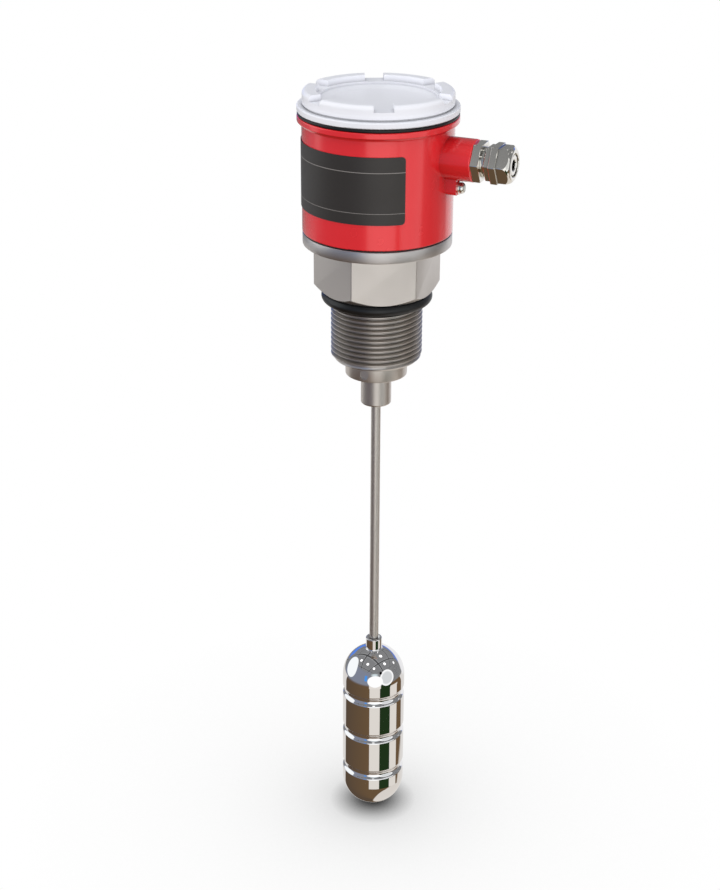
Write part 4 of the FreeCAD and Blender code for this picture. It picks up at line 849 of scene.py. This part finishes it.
@dataclass
class FineThreads:
    """The fine threads that show when the lid or the gland nut is screwed off.

    Attributes:
        skirt_radius: radius of the lid's skirt.
        skirt_low: height of the skirt thread's lower end.
        skirt_high: height of its upper end.
        gland_radius: radius of the gland body's front.
        gland_low: station of the gland thread's inner end.
        gland_high: station of its outer end.
        height: height of both threads.
        pitch: distance between their turns.
        flat: share of the pitch that crest and root take.
    """

    skirt_radius: float = 29.4 * MM
    skirt_low: float = 79.0 * MM
    skirt_high: float = 86.2 * MM
    gland_radius: float = 5.9 * MM
    gland_low: float = 51.4 * MM
    gland_high: float = 58.1 * MM
    height: float = 0.24 * MM
    pitch: float = 1.5 * MM
    flat: float = 0.3

    def build(self) -> None:
        """Cut a thread on the lid's skirt and one on the gland body's front."""
        skirt = ScrewThread(self.skirt_radius, self.skirt_radius + self.height, self.pitch,
                            self.skirt_low, self.skirt_high, flat=self.flat)
        piece = finish_piece(skirt.build(), "lid_thread", WHITE_POWDER)
        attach(piece, "lid_cap")
        front = ScrewThread(self.gland_radius, self.gland_radius + self.height, self.pitch,
                            self.gland_low, self.gland_high, flat=self.flat, steps=64)
        mesh = front.build()
        lay_along_gland(mesh)
        piece = finish_piece(mesh, "gland_thread", BRIGHT_NICKEL)
        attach(piece, "head")
        LOG.info("fine threads: %.1f mm pitch on lid skirt and gland", self.pitch / MM)


def direction(azimuth: float, elevation: float) -> Vector:
    """Turn two angles into a direction, with +X to the right and -Y towards the camera's side.

    Args:
        azimuth: degrees to the right of the side where the camera stands.
        elevation: degrees over the horizon.

    Returns:
        A unit vector.
    """
    turn, rise = math.radians(azimuth), math.radians(elevation)
    flat = math.cos(rise)
    return Vector((math.sin(turn) * flat, -math.cos(turn) * flat, math.sin(rise)))


class Sheet(Enum):
    """The surfaces round the object on which the studio's panels are laid out."""

    WALL = "azimuth and elevation in degrees, from the side where the camera stands"
    FLOOR = "right and near, in heights over the floor"


@dataclass(frozen=True)
class Panel:
    """A pale or coloured board that polished parts mirror.

    Attributes:
        sheet: the surface that it lies on.
        centre: its middle in that surface's measure.
        half: half its width and height.
        colour: sRGB hex.
        blur: width of its soft edge.
        strength: brightness.
        oval: whether it is an ellipse and not a rectangle.
    """

    sheet: Sheet
    centre: tuple[float, float]
    half: tuple[float, float]
    colour: str
    blur: float
    strength: float = 1.0
    oval: bool = False


@dataclass(frozen=True)
class Spot:
    """A round ceiling spot that polished parts mirror.

    Attributes:
        azimuth: degrees to the right of the side where the camera stands.
        elevation: degrees over the horizon.
        radius: its angular radius in degrees.
        strength: brightness.
        colour: sRGB hex.
        blur: half the width of its soft edge, in degrees.
    """

    azimuth: float
    elevation: float
    radius: float
    strength: float
    colour: str = "#ffffff"
    blur: float = 0.6


@dataclass(frozen=True)
class Lamp:
    """An area lamp that lights the object, aimed at its head.

    Attributes:
        name: the lamp's name.
        azimuth: degrees to the right of the side where the camera stands.
        elevation: degrees over the horizon.
        power: watts.
        size: side of the square, in metres.
        distance: metres from the object.
    """

    name: str
    azimuth: float
    elevation: float
    power: float
    size: float
    distance: float = 1.6


@dataclass(frozen=True)
class Ceiling:
    """The grey ceiling that the float's dome mirrors, crossed by dark beams with pale trims.

    Attributes:
        turn: degrees that the grid of beams is turned by.
        cells: cells to one height under the ceiling, both ways.
        shift: where the first cell begins, in cells.
        beam: where a beam's soft edge starts and ends, from a cell's middle, in cells.
        trim: where a trim's middle lies and half its width, the same way.
        colour: the ceiling's sRGB hex.
        trim_colour: the trims'.
        beam_colour: the beams'.
    """

    turn: float = -45.0
    cells: tuple[float, float, float] = (1.059, 0.852, 0.0)
    shift: tuple[float, float, float] = (0.438, -0.072, 0.0)
    beam: tuple[float, float] = (0.455, 0.475)
    trim: tuple[float, float] = (0.425, 0.014)
    colour: str = "#87888a"
    trim_colour: str = "#a6a8aa"
    beam_colour: str = "#454546"

    def paint(self, tree: bpy.types.NodeTree, flat: bpy.types.NodeSocket) -> bpy.types.NodeSocket:
        """Cross the grey ceiling with the beams and their trims.

        Args:
            tree: the world's node tree.
            flat: right and near in heights under the ceiling.

        Returns:
            The ceiling's colour.
        """
        along = add_node(tree, "Mapping", {
            "Vector": flat, "Rotation": (0, 0, math.radians(self.turn))}).outputs[0]
        grid = add_node(tree, "VectorMath", {0: along, 1: self.cells, 2: self.shift},
                        operation="MULTIPLY_ADD").outputs[0]
        cell = add_node(tree, "VectorMath", {0: grid}, operation="FRACTION").outputs[0]
        centred = add_node(tree, "VectorMath", {0: cell, 1: (0.5, 0.5, 0.0)},
                           operation="SUBTRACT").outputs[0]
        size = add_node(tree, "VectorMath", {0: centred}, operation="ABSOLUTE").outputs[0]
        parts = add_node(tree, "SeparateXYZ", {"Vector": size}).outputs
        edge = add_node(tree, "Math", {0: parts["X"], 1: parts["Y"]}, operation="MAXIMUM").outputs[0]
        beam = add_node(tree, "MapRange", {
            "Value": edge, "From Min": self.beam[0], "From Max": self.beam[1]}).outputs[0]
        trim = add_node(tree, "Math", {0: edge, 1: self.trim[0], 2: self.trim[1]},
                        operation="COMPARE").outputs[0]
        panels = add_node(tree, "MixRGB", {
            "Fac": trim, "Color1": linear(self.colour), "Color2": linear(self.trim_colour)}).outputs[0]
        return add_node(tree, "MixRGB", {
            "Fac": beam, "Color1": panels, "Color2": linear(self.beam_colour)}).outputs[0]


@dataclass(frozen=True)
class Bearings:
    """Where a reflection looks, as sockets of the world's node tree.

    Attributes:
        facing: its direction, with -Y towards the camera's side.
        azimuth: degrees to the right of that side.
        elevation: degrees over the horizon.
        wall: both angles as one vector.
        flat: right and near, in heights over the floor or under the ceiling.
    """

    facing: bpy.types.NodeSocket
    azimuth: bpy.types.NodeSocket
    elevation: bpy.types.NodeSocket
    wall: bpy.types.NodeSocket
    flat: bpy.types.NodeSocket


# Later panels lie over earlier ones. First come the left wall, the low boards in front and to the
# right, and two lit patches of the floor, then blue and pale boards on the walls, and last the
# softboxes: behind, left, right with its greyer middle, and front with a pale board under it.
PANELS = (
    Panel(Sheet.WALL, (-72.0, 6.0), (58.0, 25.0), "#858b9c", 10.0),
    Panel(Sheet.WALL, (4.5, -30.0), (19.5, 8.5), "#e9e4dd", 1.0),
    Panel(Sheet.WALL, (45.0, -27.6), (20.7, 10.0), "#22361d", 1.0),
    Panel(Sheet.WALL, (81.5, -32.0), (16.5, 5.0), "#e9e4dd", 1.0),
    Panel(Sheet.FLOOR, (0.69, -0.25), (0.67, 0.95), "#e3ddd6", 0.03, oval=True),
    Panel(Sheet.FLOOR, (0.0, -3.1), (9.0, 2.15), "#e4e1de", 0.05),
    Panel(Sheet.WALL, (-158.0, 3.0), (14.0, 9.0), "#5a8cf0", 4.0),
    Panel(Sheet.WALL, (150.0, 4.0), (21.0, 12.0), "#6a86d8", 5.0),
    Panel(Sheet.WALL, (-29.0, 6.5), (4.5, 10.0), "#4c9cf2", 3.0),
    Panel(Sheet.WALL, (4.0, 22.0), (12.0, 5.0), "#dcebf0", 5.0, oval=True),
    Panel(Sheet.WALL, (151.0, -9.5), (26.0, 19.0), "#f0f0f2", 3.0, 1.05, oval=True),
    Panel(Sheet.WALL, (-102.0, 12.0), (27.5, 27.0), "#f6fafc", 1.2, 1.15, oval=True),
    Panel(Sheet.WALL, (51.0, 4.0), (27.5, 27.5), "#fbfcfd", 1.2, 1.2, oval=True),
    Panel(Sheet.WALL, (51.0, 4.0), (22.0, 22.0), "#dfe2e4", 6.0, 1.0, oval=True),
    Panel(Sheet.WALL, (5.0, -21.0), (21.5, 8.0), "#efeae4", 2.0),
    Panel(Sheet.WALL, (5.5, -3.0), (28.0, 22.0), "#fbfcfd", 2.0, 1.2, oval=True),
)
# The first spot is off and shows as a dark disc.
SPOTS = (
    Spot(30.0, 27.0, 5.0, 0.02, "#202020"),
    Spot(-93.3, 49.0, 4.0, 2.0),
    Spot(-43.3, 58.0, 4.5, 2.0),
    Spot(1.4, 47.2, 4.0, 2.0),
    Spot(117.5, 66.0, 5.0, 2.0),
    Spot(70.4, 48.2, 4.5, 2.0),
    Spot(107.6, 21.4, 3.5, 1.6),
)
LAMPS = (
    Lamp("left_softbox", -98.0, 16.0, 9.0, 0.9),
    Lamp("front_softbox", 4.0, 6.0, 9.0, 0.9),
    Lamp("right_softbox", 42.0, 8.0, 4.5, 0.9),
    Lamp("ceiling_light", -20.0, 75.0, 2.5, 0.9),
)


@dataclass
class Studio:
    """Camera, floor, lamps and the surroundings that the metal parts mirror.

    Attributes:
        camera_place: the camera's position in metres.
        camera_turn: degrees that it is turned about +Z from looking along +Y.
        camera_tilt: degrees that it looks down.
        camera_roll: degrees that it is rolled.
        lens: focal length in millimetres.
        floor_level: height of the floor, just under the float.
        floor_radius: radius of the floor.
        floor_colour: its paint as sRGB hex, which the object's light sees.
        shadows: reach in metres and power of the wide and the close painted shadow.
        shadow_tilt: direction of the open sky over the floor, as the camera sees it.
        ambient: strength of the plain light.
        above: colour of the plain light from above, as sRGB hex.
        below: its colour from below.
        plain_band: heights of direction between which the one goes over into the other.
        horizon: degrees of elevation where the mirrored floor begins.
        horizon_blur: half the width of that edge.
        earth: colours of the mirrored floor on the left and on the right.
        earth_band: azimuths between which the one goes over into the other.
        lamps: the area lamps.
        panels: the boards and softboxes that metal mirrors.
        spots: the ceiling spots that it mirrors.
        ceiling: the ceiling that it mirrors.
        aim: the point that the lamps are aimed at.
    """

    camera_place: tuple[float, float, float] = (0.2966, -0.6940, 0.2686)
    camera_turn: float = 23.7
    camera_tilt: float = 24.35
    camera_roll: float = 0.265
    lens: float = 70.787
    floor_level: float = -0.2743
    floor_radius: float = 8.0
    floor_colour: str = "#e6e6e6"
    shadows: tuple[tuple[float, float], ...] = ((0.17, 1.0), (0.012, 0.8))
    shadow_tilt: tuple[float, float, float] = (-0.12, 0.1, 1.0)
    ambient: float = 0.66
    above: str = "#fbfcff"
    below: str = "#7d7268"
    plain_band: tuple[float, float] = (-0.3, 0.2)
    horizon: float = -18.0
    horizon_blur: float = 0.5
    earth: tuple[str, str] = ("#5a4b3d", "#6c563e")
    earth_band: tuple[float, float] = (-120.0, -20.0)
    lamps: tuple[Lamp, ...] = LAMPS
    panels: tuple[Panel, ...] = PANELS
    spots: tuple[Spot, ...] = SPOTS
    ceiling: Ceiling = Ceiling()
    aim: Vector = field(default_factory=lambda: Vector((0.0, 0.0, 0.03)))

    def camera(self) -> None:
        """Set up the camera at the photograph's angle and distance."""
        data = bpy.data.cameras.new("camera")
        data.lens = self.lens
        data.sensor_width = 36.0
        data.clip_start = 0.01
        data.clip_end = 50.0
        holder = bpy.data.objects.new("camera", data)
        turn = (Matrix.Rotation(math.radians(self.camera_turn), 4, "Z")
                @ Matrix.Rotation(math.radians(90 - self.camera_tilt), 4, "X")
                @ Matrix.Rotation(math.radians(self.camera_roll), 4, "Z"))
        holder.matrix_world = Matrix.Translation(self.camera_place) @ turn
        bpy.context.scene.collection.objects.link(holder)
        bpy.context.scene.camera = holder
        LOG.info("camera: %.1f mm lens", self.lens)

    def floor(self) -> bpy.types.Object:
        """Lay a plain pale floor just under the float.

        Returns:
            The floor.
        """
        mesh = bmesh.new()
        bmesh.ops.create_circle(mesh, cap_ends=True, segments=96, radius=self.floor_radius,
                                matrix=Matrix.Translation((0, 0, self.floor_level)))
        data = bpy.data.meshes.new("floor")
        mesh.to_mesh(data)
        mesh.free()
        data.materials.append(self.floor_paint())
        ground = bpy.data.objects.new("floor", data)
        ground.visible_glossy = False
        ground.visible_diffuse = False
        bpy.context.scene.collection.objects.link(ground)
        return ground

    def floor_paint(self) -> bpy.types.Material:
        """Mix the floor's paint: white to the camera, with a painted shadow, darker where the object hides
        the room.

        Returns:
            The material.
        """
        material = bpy.data.materials.new("pale_floor")
        material.use_nodes = True
        tree = material.node_tree
        tree.nodes.remove(tree.nodes["Principled BSDF"])
        tilt = Euler((0, 0, math.radians(self.camera_turn))).to_matrix() @ Vector(self.shadow_tilt)
        shade = None
        # Painted shadow: ambient occlusion darkens the floor's glow as the camera sees it.
        for reach, power in self.shadows:
            open_sky = add_node(tree, "AmbientOcclusion", {"Distance": reach, "Normal": tilt.normalized()},
                                samples=16).outputs["AO"]
            soft = add_node(tree, "Math", {0: open_sky, 1: power}, operation="POWER").outputs[0]
            shade = soft if shade is None else add_node(
                tree, "Math", {0: shade, 1: soft}, operation="MULTIPLY").outputs[0]
        glow = add_node(tree, "Emission", {"Color": shade, "Strength": 1.0})
        plain = add_node(tree, "BsdfDiffuse", {"Color": linear(self.floor_colour)})
        seen = add_node(tree, "LightPath").outputs["Is Camera Ray"]
        paint = add_node(tree, "MixShader", {0: seen, 1: plain.outputs[0], 2: glow.outputs[0]})
        tree.links.new(paint.outputs[0], tree.nodes["Material Output"].inputs["Surface"])
        return material

    def light(self, ground: bpy.types.Object) -> None:
        """Hang the area lamps, which light the object and leave the floor even.

        Args:
            ground: the floor, which the lamps leave out.
        """
        lit = bpy.data.collections.new("lit_by_lamps")
        lit.objects.link(ground)
        lit.collection_objects[0].light_linking.link_state = "EXCLUDE"
        for lamp in self.lamps:
            data = bpy.data.lights.new(lamp.name, "AREA")
            data.energy = lamp.power
            data.size = lamp.size
            holder = bpy.data.objects.new(lamp.name, data)
            away = direction(lamp.azimuth, lamp.elevation)
            away.rotate(Euler((0, 0, math.radians(self.camera_turn))))
            holder.location = self.aim + away * lamp.distance
            holder.rotation_euler = away.to_track_quat("Z", "Y").to_euler()
            holder.visible_glossy = False
            holder.light_linking.receiver_collection = lit
            bpy.context.scene.collection.objects.link(holder)
        LOG.info("lamps: %d", len(self.lamps))

    def surroundings(self) -> None:
        """Paint the world: white to the camera, plain for light, a studio in reflections."""
        world = bpy.data.worlds.new("studio")
        bpy.context.scene.world = world
        world.use_nodes = True
        world.cycles.sampling_method = "NONE"
        tree = world.node_tree
        tree.nodes.clear()
        ray = add_node(tree, "LightPath")
        seen = add_node(tree, "Background", {"Color": self.mirrored(tree), "Strength": 1.0})
        toward = add_node(tree, "TexCoord").outputs["Generated"]
        height = add_node(tree, "SeparateXYZ", {"Vector": toward}).outputs["Z"]
        sky = add_node(tree, "MapRange", {
            "Value": height, "From Min": self.plain_band[0], "From Max": self.plain_band[1]}).outputs[0]
        room = add_node(tree, "MixRGB", {
            "Fac": sky, "Color1": linear(self.below), "Color2": linear(self.above)})
        plain = add_node(tree, "Background", {"Color": room.outputs[0], "Strength": self.ambient})
        white = add_node(tree, "Background", {"Color": (1, 1, 1, 1), "Strength": 1.0})
        lit = add_node(tree, "MixShader", {
            0: ray.outputs["Is Glossy Ray"], 1: plain.outputs[0], 2: seen.outputs[0]})
        through = add_node(tree, "Math", {
            0: ray.outputs["Is Camera Ray"], 1: ray.outputs["Is Transmission Ray"]}, operation="MAXIMUM")
        shown = add_node(tree, "MixShader", {0: through.outputs[0], 1: lit.outputs[0], 2: white.outputs[0]})
        add_node(tree, "OutputWorld", {"Surface": shown.outputs[0]})
        LOG.info("surroundings: %d panels, %d spots", len(self.panels), len(self.spots))

    def bearings(self, tree: bpy.types.NodeTree) -> Bearings:
        """Work out where a reflection looks, from the camera's side of the object.

        Args:
            tree: the world's node tree.

        Returns:
            The direction, its angles, and its place on the walls and the floor.
        """
        facing = add_node(tree, "VectorRotate", {
            "Vector": add_node(tree, "TexCoord").outputs["Generated"],
            "Angle": -math.radians(self.camera_turn)}, rotation_type="Z_AXIS").outputs[0]
        parts = add_node(tree, "SeparateXYZ", {"Vector": facing}).outputs
        near = add_node(tree, "Math", {0: parts["Y"], 1: -1.0}, operation="MULTIPLY").outputs[0]
        angle = add_node(tree, "Math", {0: parts["X"], 1: near}, operation="ARCTAN2").outputs[0]
        rise = add_node(tree, "Math", {0: parts["Z"]}, operation="ARCSINE").outputs[0]
        azimuth = add_node(tree, "Math", {0: angle}, operation="DEGREES").outputs[0]
        elevation = add_node(tree, "Math", {0: rise}, operation="DEGREES").outputs[0]
        wall = add_node(tree, "CombineXYZ", {"X": azimuth, "Y": elevation}).outputs[0]
        depth = add_node(tree, "Math", {0: parts["Z"]}, operation="ABSOLUTE").outputs[0]
        right = add_node(tree, "Math", {0: parts["X"], 1: depth}, operation="DIVIDE").outputs[0]
        front = add_node(tree, "Math", {0: near, 1: depth}, operation="DIVIDE").outputs[0]
        flat = add_node(tree, "CombineXYZ", {"X": right, "Y": front}).outputs[0]
        return Bearings(facing, azimuth, elevation, wall, flat)

    def mirrored(self, tree: bpy.types.NodeTree) -> bpy.types.NodeSocket:
        """Lay out what the polished parts mirror.

        Args:
            tree: the world's node tree.

        Returns:
            The colour output by direction.
        """
        look = self.bearings(tree)
        below = add_node(tree, "MapRange", {
            "Value": look.elevation, "From Min": self.horizon + self.horizon_blur,
            "From Max": self.horizon - self.horizon_blur}).outputs[0]
        side = add_node(tree, "MapRange", {
            "Value": look.azimuth, "From Min": self.earth_band[0],
            "From Max": self.earth_band[1]}).outputs[0]
        earth = add_node(tree, "MixRGB", {
            "Fac": side, "Color1": linear(self.earth[0]), "Color2": linear(self.earth[1])}).outputs[0]
        roof = self.ceiling.paint(tree, look.flat)
        colour = add_node(tree, "MixRGB", {"Fac": below, "Color1": roof, "Color2": earth}).outputs[0]
        for panel in self.panels:
            place = {Sheet.WALL: look.wall, Sheet.FLOOR: look.flat}[panel.sheet]
            mask = self.box_mask(tree, place, panel)
            if panel.sheet is Sheet.FLOOR:
                mask = add_node(tree, "Math", {0: mask, 1: below}, operation="MULTIPLY").outputs[0]
            colour = self.layer(tree, colour, mask, panel.colour, panel.strength)
        for spot in self.spots:
            toward = direction(spot.azimuth, spot.elevation)
            nearness = add_node(tree, "VectorMath", {0: look.facing, 1: toward}, operation="DOT_PRODUCT")
            mask = add_node(tree, "MapRange", {
                "Value": nearness.outputs["Value"],
                "From Min": math.cos(math.radians(spot.radius + spot.blur)),
                "From Max": math.cos(math.radians(spot.radius - spot.blur))}).outputs[0]
            colour = self.layer(tree, colour, mask, spot.colour, spot.strength)
        return colour

    @staticmethod
    def box_mask(tree: bpy.types.NodeTree, place: bpy.types.NodeSocket,
                 panel: Panel) -> bpy.types.NodeSocket:
        """Measure where a panel lies.

        Args:
            tree: the world's node tree.
            place: the coordinates of the panel's surface.
            panel: the panel.

        Returns:
            1 on the panel and 0 off it.
        """
        offset = add_node(tree, "VectorMath", {0: place, 1: (*panel.centre, 0.0)},
                          operation="SUBTRACT").outputs[0]
        if panel.oval:
            share = add_node(tree, "VectorMath", {0: offset, 1: (*panel.half, 1.0)},
                             operation="DIVIDE").outputs[0]
            length = add_node(tree, "VectorMath", {0: share}, operation="LENGTH").outputs["Value"]
            over = add_node(tree, "Math", {0: length, 1: 1.0}, operation="SUBTRACT").outputs[0]
            outside = add_node(tree, "Math", {0: over, 1: min(panel.half)}, operation="MULTIPLY").outputs[0]
        else:
            span = add_node(tree, "VectorMath", {0: offset}, operation="ABSOLUTE").outputs[0]
            over = add_node(tree, "VectorMath", {0: span, 1: (*panel.half, 0.0)},
                            operation="SUBTRACT").outputs[0]
            parts = add_node(tree, "SeparateXYZ", {"Vector": over}).outputs
            outside = add_node(tree, "Math", {0: parts["X"], 1: parts["Y"]}, operation="MAXIMUM").outputs[0]
        return add_node(tree, "MapRange", {
            "Value": outside, "From Min": panel.blur / 2, "From Max": -panel.blur / 2}).outputs[0]

    @staticmethod
    def layer(tree: bpy.types.NodeTree, under: bpy.types.NodeSocket, mask: bpy.types.NodeSocket,
              code: str, strength: float) -> bpy.types.NodeSocket:
        """Lay one flat colour over what is already there.

        Args:
            tree: the world's node tree.
            under: the colour so far.
            mask: where the new colour goes.
            code: the new colour as sRGB hex.
            strength: its brightness.

        Returns:
            The colour with the layer on it.
        """
        bright = tuple(c * strength for c in linear(code)[:3]) + (1.0,)
        return add_node(tree, "MixRGB", {"Fac": mask, "Color1": under, "Color2": bright}).outputs[0]

    def build(self) -> None:
        """Set up the camera, the floor, the lamps and the world."""
        self.camera()
        self.light(self.floor())
        self.surroundings()


def dress(nodes: dict[str, bpy.types.Object]) -> None:
    """Give every CAD part its finish.

    Args:
        nodes: the CAD parts by name.
    """
    for name, finish in FINISH_BY_NODE.items():
        data = nodes[name].data
        data.materials.clear()
        data.materials.append(finish.material())
        LOG.info("%s: %s", name, finish.name)


def main() -> None:
    """Load the frame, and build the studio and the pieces."""
    logging.basicConfig(level=logging.INFO, format="%(name)s: %(message)s")
    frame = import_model()
    bpy.context.scene.view_settings.view_transform = "Standard"
    Studio().build()
    dress(frame["nodes"])
    Connector().build()
    Gland().build()
    FineThreads().build()
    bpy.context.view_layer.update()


if __name__ == "__main__":
    main()
